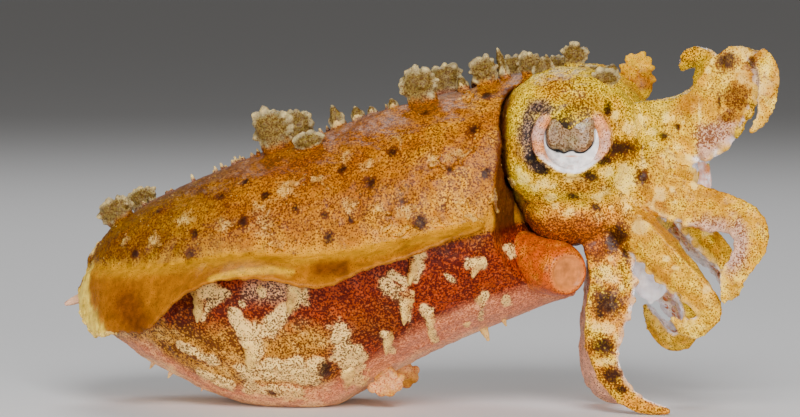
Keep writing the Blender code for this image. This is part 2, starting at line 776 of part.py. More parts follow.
def pupil_groove(side):
    """A thin tube along the W of the pupil, on the eye's front."""
    rows = []
    for i in range(PUPIL_STEPS + 1):
        u, v = between(PUPIL, i / PUPIL_STEPS)
        front = math.sqrt(max(EYE_RADIUS**2 - u * u - v * v, 0.0))
        rows.append((EYE_CENTRE[0] + u, side * (EYE_CENTRE[1] + front), EYE_CENTRE[2] + v, PUPIL_GROOVE))
    return finished(tube(rows, 5), "groove")


def build_eye(side_name):
    side = SIDES[side_name]
    centre = mirrored(EYE_CENTRE, side)
    inner = EYE_OPENING - GAP
    eye = finished(
        ball(centre, (EYE_RADIUS,) * 3, sides=EYE_SIDES, rings=EYE_RINGS), f"eye_{side_name}", "eye", "cuttlefish"
    )
    apply_boolean(eye, [eye_barrel(side, inner, EYE_FLOOR + GAP)], "INTERSECT")
    flap = finished(ball(centre, (EYE_RADIUS + IRIS_FLAP_RAISE,) * 3, sides=EYE_SIDES, rings=EYE_RINGS), "flap")
    apply_boolean(flap, [eye_barrel(side, inner - 0.1, EYE_FLOOR + 1.0)], "INTERSECT")
    apply_boolean(flap, [eye_barrel(side, IRIS_FLAP_RADIUS, EYE_FLOOR + 0.8, up=IRIS_FLAP_UP)], "INTERSECT")
    apply_boolean(eye, [flap], "UNION")
    apply_boolean(eye, [pupil_groove(side)], "DIFFERENCE")
    return eye


def funnel_solid(swell=0.0):
    """The funnel's outside, also longer by the swell at its hidden end."""
    back = (Vector(FUNNEL[0][:3]) - Vector(FUNNEL[1][:3])).normalized() * swell
    rows = [(*(Vector(FUNNEL[0][:3]) + back), FUNNEL[0][3]), *FUNNEL[1:]]
    return finished(tube(rows, FUNNEL_SIDES, swell), "funnel_cutter")


def build_funnel():
    funnel = finished(tube(FUNNEL, FUNNEL_SIDES), "funnel", "funnel", "cuttlefish")
    end, before = Vector(FUNNEL[-1][:3]), Vector(FUNNEL[-2][:3])
    out = (end - before).normalized()
    deep = end - out * FUNNEL_MOUTH_DEPTH
    bore = ((*deep, FUNNEL_MOUTH * 0.8), (*(end + out), FUNNEL_MOUTH))
    line, curl, side, ends = arm_parts("arm_4_right")
    arm = finished(arm_length(line, 0.0, ends[1], curl, side, GAP), "arm_cutter")
    apply_boolean(funnel, [*head_core(GAP), arm], "DIFFERENCE")
    apply_boolean(funnel, [finished(tube(bore, 12), "bore")], "DIFFERENCE")
    return funnel


def build_mouth():
    """The buccal mass with its lip, clear of the hollow in which it sits."""
    mouth = finished(ball(*MOUTH, 0.0, MOUTH_SIDES, MOUTH_RINGS), "mouth", "pale_flesh", "cuttlefish")
    front = Vector(MOUTH[0]) + Vector((MOUTH[1][0] - 0.25, 0, 0))
    rows = []
    for i in range(LIP_STEPS):
        a = math.tau * i / LIP_STEPS
        out = Vector((0, math.cos(a), math.sin(a)))
        rows.append((front + out * LIP_RADIUS, out, LIP_THICKNESS))
    lip = finished(ring_tube(rows, Vector((1, 0, 0)), LID_SIDES), "lip")
    apply_boolean(mouth, [lip], "UNION")
    apply_boolean(mouth, [finished(ball(*MOUTH_HOLLOW, -GAP), "hollow")], "INTERSECT")
    return mouth


def build_tentacle(side_name):
    rows = [(*mirrored(row[:3], SIDES[side_name]), row[3]) for row in TENTACLE]
    obj = finished(tube(rows, TENTACLE_SIDES), f"tentacle_{side_name}", "pale_flesh", "cuttlefish")
    apply_boolean(obj, head_core(GAP) + [arm_stub(name, GAP) for name in ARMS], "DIFFERENCE")
    return obj


def mantle_loft(swell=0.0):
    """The bare mantle, which is also swelled to cut what grows beside it."""
    rings = []
    for i in range(MANTLE_RINGS):
        share = i / (MANTLE_RINGS - 1)
        ring = []
        for j in range(MANTLE_SIDES):
            degrees = 360 * j / MANTLE_SIDES - 90
            point = mantle_point(share, degrees)
            if swell:
                out = mantle_normal(min(max(share, 0.02), 0.98), degrees)
                out.x -= 1.0 if i == 0 else 0.0
                point = point + out.normalized() * swell
            ring.append(point)
        rings.append(ring)
    return loft(rings)


def build_mantle():
    mantle = finished(mantle_loft(), "mantle", "skin_back", "cuttlefish")
    pieces = []
    for x, degrees, width, height, lobes in BACK_PAPILLAE:
        share = share_at(MANTLE, x)
        foot, up = mantle_point(share, degrees), mantle_normal(share, degrees)
        lean = up + Vector((-0.15, 0, 0.5))
        pieces.append(papilla(foot, lean, width, height, PAPILLA_THICKNESS, lobes))
    for i, x in enumerate(CREST_KNOBS):
        degrees = CREST_KNOB_ANGLE if i % 2 else 180 - CREST_KNOB_ANGLE
        share = share_at(MANTLE, x)
        height = CREST_KNOB_HEIGHT * (1.0, 0.7, 1.2)[i % 3]
        pieces.append(knob(mantle_point(share, degrees), mantle_normal(share, degrees), CREST_KNOB_RADIUS, height))
    for side in SIDES.values():
        for degrees, places in FLANK_ROWS:
            for x in places:
                share = share_at(MANTLE, x)
                angle = degrees if side == RIGHT else 180 - degrees
                foot, up = mantle_point(share, angle), mantle_normal(share, angle)
                pieces.append(knob(foot, up, FLANK_KNOB_RADIUS, FLANK_KNOB_HEIGHT))
        for x, below, length in TONGUES:
            angle = 180 + below if side == RIGHT else -below
            pieces.append(tongue(share_at(MANTLE, x), angle, length))
    apply_boolean(mantle, pieces, "UNION")
    apply_boolean(mantle, [*head_core(GAP), funnel_solid(GAP)], "DIFFERENCE")
    return mantle


def fin_root_line(side):
    """Points round the mantle at the fin's root, from its front to the tail."""
    front = share_at(MANTLE, FIN_FRONT)
    points = []
    for i in range(FIN_ROOT_POINTS + 1):
        share = front * (1 - i / FIN_ROOT_POINTS)
        points.append(mantle_point(share, 180 if side == RIGHT else 0))
    tail = Vector((MANTLE[0][0] - 0.6, side * FIN_END, MANTLE[0][2]))
    start = points[-1]
    points += [start.lerp(tail, i / 8) for i in range(1, 9)]
    far, line = 0.0, [(0.0, points[0])]
    for before, after in zip(points, points[1:]):
        far += (after - before).length
        line.append((far, after))
    return [(a, tuple(p)) for a, p in line]


def build_fin(side_name):
    """One thin fin with a rippled edge, split into triangles alike on both faces."""
    side = SIDES[side_name]
    line = fin_root_line(side)
    whole = line[-1][0]
    bm = bmesh.new()
    grid = []
    for i in range(FIN_STATIONS + 1):
        share = i / FIN_STATIONS
        far = share * whole
        root = Vector(on_line(line, far))
        ahead, behind = Vector(on_line(line, min(far + 0.8, whole))), Vector(on_line(line, max(far - 0.8, 0)))
        along = ahead - behind
        out = Vector((along.y, -along.x, 0)).normalized() * -side
        if out.dot(Vector((0, side, 0))) < -0.2:
            out = -out
        _, width, droop = between(FIN, share_at(FIN, share))
        ripple = FIN_RIPPLE * math.sin(FIN_RIPPLES * share * math.pi) * min(1.0, 4 * share)
        spread = math.sqrt(max(width**2 - droop**2, 0.6**2))
        profile = []
        for d in FIN_ACROSS:
            reach = spread * d ** (1.0 if droop < 3.2 else 0.8) - (FIN_OVERLAP if d == 0 else 0.0)
            profile.append(root + out * reach + Vector((0, 0, -droop * d**1.5 + ripple * d**2)))
        station = []
        for j, point in enumerate(profile):
            before, after = profile[max(j - 1, 0)], profile[min(j + 1, len(profile) - 1)]
            face = (after - before).cross(along).normalized()
            if face.dot(Vector((0, 0, 1)) + out) < 0:
                face = -face
            half = (FIN_ROOT_THICKNESS + (FIN_EDGE_THICKNESS - FIN_ROOT_THICKNESS) * FIN_ACROSS[j] ** 0.7) / 2
            if i in (0, FIN_STATIONS):
                half *= 0.6
            station.append((bm.verts.new(point + face * half), bm.verts.new(point - face * half)))
        grid.append(station)
    across = len(FIN_ACROSS)
    for first, second in zip(grid, grid[1:]):
        for j in range(across - 1):
            for face in (0, 1):
                a, b, c, d = first[j][face], first[j + 1][face], second[j + 1][face], second[j][face]
                bm.faces.new((a, b, c))
                bm.faces.new((a, c, d))
        for j in (0, across - 1):
            bm.faces.new((first[j][0], first[j][1], second[j][1], second[j][0]))
    for station in (grid[0], grid[-1]):
        for first, second in zip(station, station[1:]):
            bm.faces.new((first[0], first[1], second[1], second[0]))
    fin = finished(bm, f"fin_{side_name}", "fin", "cuttlefish")
    return apply_boolean(fin, [finished(mantle_loft(GAP), "mantle_cutter")], "DIFFERENCE")


def build_spine():
    rows = []
    for share, radius in ((0.0, SPINE_RADIUS), (0.5, 0.62), (0.9, 0.42), (1.0, SPINE_TIP_RADIUS)):
        rows.append((*Vector(SPINE_ROOT).lerp(Vector(SPINE_TIP), share), radius))
    spine = finished(tube(rows, 10), "tail_spine", "spine", "cuttlefish")
    apply_boolean(spine, [finished(mantle_loft(GAP), "tail_cutter")], "DIFFERENCE")
    return spine


def build_flap(side_name):
    side = SIDES[side_name]
    share = share_at(MANTLE, FLAP_X)
    angle = FLAP_ANGLE if side == LEFT else 180 - FLAP_ANGLE
    foot, up = mantle_point(share, angle), mantle_normal(share, angle)
    hang = (up + Vector((0.1, side * 0.25, -0.6))).normalized()
    flap = papilla(foot + hang * (GAP + PAPILLA_SINK), hang, FLAP_WIDTH, FLAP_LENGTH - 1, FLAP_THICKNESS, 5, 12, 7)
    flap.name = f"walking_flap_{side_name}"
    for holder in list(flap.users_collection):
        holder.objects.unlink(flap)
    collection_of("cuttlefish").objects.link(flap)
    flap.data.materials.append(material_of("pale_flesh"))
    return flap


def main():
    clear_scene()
    build_arms()
    build_head()
    for side_name in SIDES:
        build_eye(side_name)
        build_fin(side_name)
        build_tentacle(side_name)
        build_flap(side_name)
    build_funnel()
    build_mouth()
    build_mantle()
    build_spine()


main()
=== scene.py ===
# %% [markdown]
# # A stumpy-spined cuttlefish at life size
# This lesson dresses a plain solid model of a small walking cuttlefish as a museum would show it.
# The solids give the places and sizes. Every cell below adds one part of the animal: the mantle with its
# side fins, the papillae, the head with its eight arms, the eyes, the funnel and the small parts.

# %% Load the frame
import math
from itertools import product

import bmesh
import bpy
import numpy as np
from mathutils import Matrix, Vector, kdtree


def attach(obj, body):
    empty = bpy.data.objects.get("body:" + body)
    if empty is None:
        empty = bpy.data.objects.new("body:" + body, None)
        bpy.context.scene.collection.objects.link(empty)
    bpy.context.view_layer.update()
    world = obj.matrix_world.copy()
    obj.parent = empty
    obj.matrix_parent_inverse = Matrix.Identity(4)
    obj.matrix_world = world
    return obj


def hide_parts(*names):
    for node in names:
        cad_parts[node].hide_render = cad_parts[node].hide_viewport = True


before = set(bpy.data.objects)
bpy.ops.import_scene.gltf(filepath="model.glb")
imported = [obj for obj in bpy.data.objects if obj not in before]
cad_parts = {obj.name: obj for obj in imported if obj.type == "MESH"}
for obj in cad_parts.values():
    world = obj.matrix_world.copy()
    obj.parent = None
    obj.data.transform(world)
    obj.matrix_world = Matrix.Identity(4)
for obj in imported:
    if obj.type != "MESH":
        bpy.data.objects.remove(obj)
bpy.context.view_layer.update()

MM = 0.001
RIGHT, LEFT = -1, 1
SIDES = {"right": RIGHT, "left": LEFT}


def put_in_scene(obj):
    bpy.context.scene.collection.objects.link(obj)
    return obj


# %% [markdown]
# ## The camera, the floor and the light
# The photograph looks at the animal's right side from almost its own height, a little from in front.
# The camera could be aimed by hand. Working its place out from two angles and a distance keeps the view
# honest: the model's real size then decides how large it shows. The floor is one wide pale sheet, and
# four large soft lamps give the gentle highlights that wet skin needs.

# %% Camera, floor and light
AZIMUTH, ELEVATION = math.radians(10), math.radians(3)
CAMERA_FAR, VIEW_WIDTH, SENSOR = 0.6, 0.09792, 36.0
NEAREST, FARTHEST = 0.01, 100.0
TARGET = Vector((0.0118, 0.0, 0.0241))
BACK = Vector(
    (
        math.sin(AZIMUTH) * math.cos(ELEVATION),
        -math.cos(AZIMUTH) * math.cos(ELEVATION),
        math.sin(ELEVATION),
    )
)
FLOOR_SIZE, FLOOR_COLOUR, FLOOR_ROUGHNESS = 60.0, (0.80, 0.80, 0.81, 1.0), 0.55
ROOM_COLOUR, ROOM_STRENGTH = (1.0, 0.97, 0.93, 1.0), 0.12
LAMPS = {
    "key": ((0.16, -0.54, 0.38), 0.26, 4.4),
    "fill": ((-0.45, -0.50, 0.14), 0.40, 2.1),
    "low": ((0.30, -0.52, 0.06), 0.30, 2.4),
    "rim": ((-0.10, 0.45, 0.55), 0.30, 1.7),
}


def add_camera():
    data = bpy.data.cameras.new("camera")
    data.sensor_width = SENSOR
    data.lens = SENSOR * CAMERA_FAR / VIEW_WIDTH
    data.clip_start, data.clip_end = NEAREST, FARTHEST
    camera = bpy.data.objects.new("camera", data)
    camera.location = TARGET + BACK * CAMERA_FAR
    camera.rotation_euler = BACK.to_track_quat("Z", "Y").to_euler()
    put_in_scene(camera)
    bpy.context.scene.camera = camera


def add_lamps():
    for name, (place, size, power) in LAMPS.items():
        data = bpy.data.lights.new(name, "AREA")
        data.size, data.energy = size, power
        lamp = bpy.data.objects.new(name, data)
        lamp.location = place
        lamp.rotation_euler = (Vector(place) - TARGET).to_track_quat("Z", "Y").to_euler()
        put_in_scene(lamp)
    world = bpy.data.worlds.new("soft room")
    world.use_nodes = True
    background = world.node_tree.nodes["Background"]
    background.inputs["Color"].default_value = ROOM_COLOUR
    background.inputs["Strength"].default_value = ROOM_STRENGTH
    bpy.context.scene.world = world


def add_floor():
    mesh = bpy.data.meshes.new("floor")
    half = FLOOR_SIZE / 2
    corners = [(-half, -half, 0), (half, -half, 0), (half, half, 0), (-half, half, 0)]
    mesh.from_pydata(corners, [], [(0, 1, 2, 3)])
    floor = bpy.data.objects.new("floor", mesh)
    paint = bpy.data.materials.new("pale floor")
    paint.use_nodes = True
    shader = paint.node_tree.nodes["Principled BSDF"]
    shader.inputs["Base Color"].default_value = FLOOR_COLOUR
    shader.inputs["Roughness"].default_value = FLOOR_ROUGHNESS
    mesh.materials.append(paint)
    put_in_scene(floor)


add_camera()
add_lamps()
add_floor()
print("camera at", [round(c, 3) for c in bpy.context.scene.camera.location])

# %% [markdown]
# ## Colours
# Artists pick colours as they look on a screen, but a shader works in linear light. One small function
# turns the first into the second, so that the palette below can be read as ordinary screen colours.

# %% The palette


def screen(red, green, blue):
    """A screen colour from 0 to 255 as linear light."""
    return np.array([(c / 255) ** 2.2 for c in (red, green, blue)])


MUSTARD = screen(176, 106, 0)
GOLD = screen(240, 172, 6)
BACK_GOLD = screen(222, 148, 0)
BRONZE = screen(156, 102, 14)
# The brown of painted shade under the head.
JOWL_SHADE = screen(190, 96, 14)
BURNT = screen(146, 70, 2)
AMBER = screen(168, 100, 0)
AMBER_DEEP = screen(110, 56, 2)
# AMBER_LINE paints the highlight along the fin, and is also the real gold of the papillae.
AMBER_LINE = screen(240, 176, 12)
AMBER_EDGE = screen(250, 204, 70)
# The mauve of a painted sheen along the crest.
MAUVE_SHEEN = screen(146, 100, 84)
RUST = screen(164, 58, 12)
PINK_GROUND = screen(230, 164, 120)
BELLY = screen(226, 136, 98)
WHITE_GROUND = screen(232, 164, 104)
BELLY_WHITE = screen(252, 194, 146)
CREAM = screen(255, 218, 130)
SAND = screen(206, 140, 44)
PAPILLA = screen(170, 150, 108)
OLIVE = screen(240, 194, 8)
OLIVE_DEEP = screen(118, 94, 46)
CHEEK = screen(236, 146, 30)
# The dark brown of painted shade in grooves.
CREVICE_SHADE = screen(72, 26, 6)
ARM_GOLD = screen(226, 158, 0)
ARM_SAND = screen(242, 186, 22)
ARM_ORANGE = screen(176, 108, 4)
LAVENDER = screen(208, 158, 140)
PINK_LEG = screen(232, 168, 138)
ORAL = screen(250, 244, 250)
ORANGE = screen(196, 82, 0)
PEACH = screen(204, 120, 58)
SALMON = screen(238, 148, 88)
EYE_WHITE = screen(252, 244, 240)
IRIS = screen(150, 118, 86)
BLACK = screen(12, 10, 10)

INK_BACK = screen(88, 40, 6)
INK_FLANK = screen(70, 10, 4)
INK_HEAD = screen(84, 52, 8)
INK_PURPLE = screen(22, 10, 18)
INK_ARM = screen(112, 58, 10)
INK_SOFT = screen(184, 92, 50)
print("palette ready")

# %% [markdown]
# ## Smooth curves through a few sizes
# The animal is described by a few cross-sections and a few points along each arm. A Catmull-Rom curve
# passes through each of them and stays smooth between, so a short table gives a round body. The tables
# are the same as those of the solids, which keeps the skin on the solid model.

# %% Curves and frames
HALVINGS, STEPS_A_ROW = 40, 20


def catmull(p, q, r, s, u):
    """The value a share u of the way from q to r on the smooth curve through all four."""
    return 0.5 * (2 * q + (r - p) * u + (2 * p - 5 * q + 4 * r - s) * u**2 + (3 * q - 3 * r + s - p) * u**3)


def between(rows, share):
    """The row at a share of the way on a smooth curve through the rows."""
    last = len(rows) - 1
    place = min(max(share, 0.0), 1.0) * last
    i = min(int(place), last - 1)
    u = place - i
    near = [rows[min(max(k, 0), last)] for k in (i - 1, i, i + 1, i + 2)]
    return [catmull(*four, u) for four in zip(*near)]


def dense(rows, steps):
    """Rows at even steps along the smooth curve."""
    return [between(rows, i / steps) for i in range(steps + 1)]


def share_at(rows, value):
    """How far along the rows their first number reaches the value."""
    low, high = 0.0, 1.0
    for _ in range(HALVINGS):
        middle = (low + high) / 2
        if between(rows, middle)[0] < value:
            low = middle
        else:
            high = middle
    return low


def measured(points):
    """The points, each with its distance from the first along the line."""
    line, far = [(0.0, points[0])], 0.0
    for before, after in zip(points, points[1:]):
        far += (Vector(after[:3]) - Vector(before[:3])).length
        line.append((far, after))
    return line


def arm_line(rows):
    """Fine points along an arm, each with its distance from the root."""
    return measured(dense(rows, STEPS_A_ROW * (len(rows) - 1)))


def on_line(line, far):
    """The row at a distance along the line."""
    for (a, first), (b, second) in zip(line, line[1:]):
        if far <= b:
            u = (far - a) / (b - a)
            return [p + (q - p) * u for p, q in zip(first, second)]
    return line[-1][1]


print("half way along a curve:", between(((0.0,), (1.0,), (4.0,)), 0.5))

# %% [markdown]
# ## Noise
# Living skin is never even. Value noise is the simplest kind: random numbers on a grid of cubes, blended
# smoothly between. Written with numpy it treats a hundred thousand points at once, and because its
# numbers come from a fixed formula the model is the same each time.

# %% Noise in numpy


def lattice(ix, iy, iz, seed):
    """A fixed random number from 0 to 1 for each corner of the grid."""
    mixed = ix * 374761393 + iy * 668265263 + iz * 1274126177 + seed * 951274213
    mixed = (mixed ^ (mixed >> 13)) * 1103515245
    mixed = mixed ^ (mixed >> 16)
    return (mixed & 0xFFFF) / 65535.0


def noise(points, size, seed=0):
    """Smooth noise from -1 to 1, with bumps of about that size."""
    grid = points / size
    low = np.floor(grid).astype(np.int64)
    part = grid - low
    part = part * part * (3 - 2 * part)
    total = np.zeros(len(points))
    for corner in product((0, 1), repeat=3):
        weight = np.prod([part[:, i] if far else 1 - part[:, i] for i, far in enumerate(corner)], axis=0)
        total += weight * lattice(*(low + corner).T, seed)
    return total * 2 - 1


def rough(points, size, seed=0, octaves=3):
    """Noise with finer noise on top."""
    return sum(noise(points, size / 2**k, seed + k) / 2**k for k in range(octaves)) / 1.6


def step(value, low, high):
    """0 below low, 1 above high, smooth between."""
    t = np.clip((value - low) / (high - low), 0, 1)
    return t * t * (3 - 2 * t)


def blend(first, second, share):
    """Mixes two colours or rows of colours."""
    share = np.asarray(share)[..., None] if np.ndim(share) else share
    return first + (second - first) * share


print("noise sample", noise(np.array([[1.5, 2.5, 3.5]]), 1.0).round(3))

# %% [markdown]
# ## From simple closed shapes to one skin
# Flesh has no seams, so the body can't be left as parts pushed into each other. Sculptors who work in
# Blender join the rough shapes and then voxel remesh them: the joined shape is filled with tiny cubes
# and skinned again, which melts the parts together. A light smoothing then softens the joins as real
# tissue would. The helpers below do that, and turn the finished mesh from millimetres to metres.

# %% Mesh helpers


def round_turn(count):
    """Angles all the way round."""
    return [math.tau * j / count for j in range(count)]


def bridge(bm, rings):
    """Faces between closed rings of as many points, each ring to the next."""
    for first, second in zip(rings, rings[1:]):
        for j in range(len(first)):
            k = (j + 1) % len(first)
            bm.faces.new((first[j], first[k], second[k], second[j]))


def fan(bm, ring, middle):
    """Closes a ring with triangles to its middle."""
    for j in range(len(ring)):
        bm.faces.new((ring[j], ring[(j + 1) % len(ring)], middle))


def loft(rings):
    """A closed skin over rings of as many points."""
    bm = bmesh.new()
    made = [[bm.verts.new(point) for point in ring] for ring in rings]
    bridge(bm, made)
    for ring in (made[0], made[-1]):
        fan(bm, ring, bm.verts.new(sum((v.co for v in ring), Vector()) / len(ring)))
    return bm


def ball(centre, radii, swell=0.0, sides=48, rings=32, turn=None):
    """An ellipsoid, turned if asked."""
    bm = bmesh.new()
    size = Matrix.Diagonal([*(r + swell for r in radii), 1.0])
    place = Matrix.Translation(centre) @ (turn.to_4x4() if turn else Matrix.Identity(4)) @ size
    bmesh.ops.create_uvsphere(bm, u_segments=sides, v_segments=rings, radius=1.0, matrix=place)
    return bm


def tube(rows, sides):
    """A round tube through rows of a point and a radius."""
    rings = []
    for i, row in enumerate(rows):
        before, after = rows[max(i - 1, 0)], rows[min(i + 1, len(rows) - 1)]
        along = Vector(after[:3]) - Vector(before[:3])
        turn = along.to_track_quat("Z", "X").to_matrix()
        circle = [Vector((row[3] * math.cos(a), row[3] * math.sin(a), 0)) for a in round_turn(sides)]
        rings.append([Vector(row[:3]) + turn @ place for place in circle])
    return loft(rings)


def as_object(pieces, name):
    """Closed pieces as one object, still in millimetres, with faces out."""
    mesh = bpy.data.meshes.new(name)
    whole = bmesh.new()
    for piece in pieces:
        bmesh.ops.recalc_face_normals(piece, faces=piece.faces)
        part = bpy.data.meshes.new("part")
        piece.to_mesh(part)
        piece.free()
        whole.from_mesh(part)
        bpy.data.meshes.remove(part)
    whole.to_mesh(mesh)
    whole.free()
    return put_in_scene(bpy.data.objects.new(name, mesh))


def with_pieces(obj, pieces, name):
    """The object's mesh and more closed pieces, as a new object."""
    whole = bmesh.new()
    whole.from_mesh(obj.data)
    bpy.data.objects.remove(obj)
    return as_object([whole, *pieces], name)


def apply_modifiers(obj):
    """Leaves the shape that the modifiers give as a plain mesh."""
    bpy.context.view_layer.update()
    graph = bpy.context.evaluated_depsgraph_get()
    mesh = bpy.data.meshes.new_from_object(obj.evaluated_get(graph))
    obj.modifiers.clear()
    old, obj.data = obj.data, mesh
    bpy.data.meshes.remove(old)
    return obj


def fuse(obj, voxel, smoothing=2):
    """Melts the pieces of an object into one skin."""
    remesh = obj.modifiers.new("fuse", "REMESH")
    remesh.mode = "VOXEL"
    remesh.voxel_size = voxel
    if smoothing:
        soften = obj.modifiers.new("soften", "SMOOTH")
        soften.factor, soften.iterations = 0.5, smoothing
    return apply_modifiers(obj)


def cut(obj, pieces, solver="EXACT"):
    """Cuts closed pieces out of an object."""
    cutter = as_object(pieces, "cutter")
    modifier = obj.modifiers.new("cut", "BOOLEAN")
    modifier.operation, modifier.solver, modifier.object = "DIFFERENCE", solver, cutter
    apply_modifiers(obj)
    mesh = cutter.data
    bpy.data.objects.remove(cutter)
    bpy.data.meshes.remove(mesh)
    return obj


def triangles_of(obj):
    return sum(len(p.vertices) - 2 for p in obj.data.polygons)


def thin_out(obj, most):
    """Brings the mesh under a number of triangles."""
    triangles = triangles_of(obj)
    if triangles > most:
        modifier = obj.modifiers.new("thin", "DECIMATE")
        modifier.ratio = most / triangles
        apply_modifiers(obj)
    return obj


def read(values, name, width=3):
    """One field of Blender's items as rows of numbers."""
    found = np.empty(len(values) * width)
    values.foreach_get(name, found)
    return found.reshape(-1, width)


def points_of(mesh):
    return read(mesh.vertices, "co")


def raise_skin(obj, points, lumps, most):
    """Moves each point out by its lump, but not under the floor, and thins the mesh out."""
    points = points + read(obj.data.vertex_normals, "vector") * lumps[:, None]
    points[:, 2] = np.maximum(points[:, 2], 0.0)
    obj.data.vertices.foreach_set("co", points.ravel())
    obj.data.update()
    return thin_out(obj, most)


FIELDS = {"FLOAT_COLOR": "color", "FLOAT_VECTOR": "vector", "FLOAT": "value"}


def store(mesh, name, kind, values):
    """Keeps a value on each point of a mesh."""
    layer = mesh.attributes.new(name=name, type=kind, domain="POINT")
    layer.data.foreach_set(FIELDS[kind], np.asarray(values, dtype=float).ravel())


def marks_of(speckle, pale=0.0, dark=0.0):
    """The three marks of each point as rows."""
    return np.stack([speckle, pale + 0 * speckle, dark + 0 * speckle], axis=1)


def paint(mesh, tint, ink, marks):
    """Stores the skin's colours on its points. Marks are speckle, pale and dark."""
    for name, rows in (("tint", tint), ("ink", ink), ("marks", marks)):
        colours = np.ones((len(mesh.vertices), 4))
        colours[:, : rows.shape[1]] = rows
        store(mesh, name, "FLOAT_COLOR", colours)


def finish_piece(obj, material, slot, *nodes):
    """Brings a piece to metres, shades it smooth and ties it to the frame."""
    obj.data.transform(Matrix.Scale(MM, 4))
    obj.data.materials.clear()
    obj.data.materials.append(material)
    obj.data.shade_smooth()
    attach(obj, "root")
    if nodes:
        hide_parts(*nodes)
    print(obj.name, "has", triangles_of(obj), "triangles")
    return obj


# %% [markdown]
# ## The skin's material
# A cuttlefish's colour comes from thousands of tiny sacs of pigment, the chromatophores, over a layer of
# cells that scatter white light. A picture could be laid on the model, but a procedural material shows
# the dots sharply at any distance. Two Voronoi textures give the dots: one dark, and over it sparser
# bright flecks. The mesh carries three colours on its points: the tint between the dots, the ink of the
# dots, and the marks, which say how dense the speckle is and where the pale and dark patches lie.

# %% Material helpers
CLOUD_SIZE, PEBBLE_SIZE, PORE_SIZE, PEBBLE_HEIGHT = 0.9, 0.5, 0.22, 0.12
LIGHT_GAIN, DEEP_GAIN = (1.5, 1.7, 1.3, 1.0), (0.20, 0.16, 0.30, 1.0)
SPECULAR, COAT_ROUGHNESS, EYE_COAT_ROUGHNESS = 0.14, 0.16, 0.06
SCATTER, SCATTER_DEPTH = (1.0, 0.4, 0.2), 0.5


def fill(tree, node, values):
    """Links or fills a node's inputs, by name or number."""
    for key, value in dict(values).items():
        socket = node.inputs[key]
        if isinstance(value, bpy.types.NodeSocket):
            tree.links.new(value, socket)
        else:
            socket.default_value = value
    return node


def add(tree, kind, values=(), **settings):
    """A node with its settings and its inputs."""
    node = tree.nodes.new(kind)
    for key, value in settings.items():
        setattr(node, key, value)
    return fill(tree, node, values)


def calc(tree, operation, first, second=0.0, third=0.0, clamp=False):
    values = {0: first, 1: second, 2: third}
    return add(tree, "ShaderNodeMath", values, operation=operation, use_clamp=clamp).outputs[0]


def mix(tree, share, first, second, blend_type="MIX"):
    values = {0: share, 6: first, 7: second}
    return add(tree, "ShaderNodeMix", values, data_type="RGBA", blend_type=blend_type).outputs[2]


def soft_step(tree, value, low, high):
    values = {"Value": value, "From Min": low, "From Max": high}
    return add(tree, "ShaderNodeMapRange", values, interpolation_type="SMOOTHSTEP").outputs["Result"]


def dots_layer(tree, place, spacing, size, edge=0.06):
    """Round dots of uneven size, 1 inside a dot and 0 between, with their spacing in millimetres."""
    cells = add(tree, "ShaderNodeTexVoronoi", {"Vector": place, "Scale": 1 / (spacing * MM)})
    chance = add(tree, "ShaderNodeSeparateColor", {"Color": cells.outputs["Color"]}).outputs[0]
    grown = calc(tree, "MULTIPLY", calc(tree, "MULTIPLY_ADD", chance, 0.5, 0.75), size)
    return soft_step(tree, calc(tree, "SUBTRACT", grown, cells.outputs["Distance"]), -edge, edge)


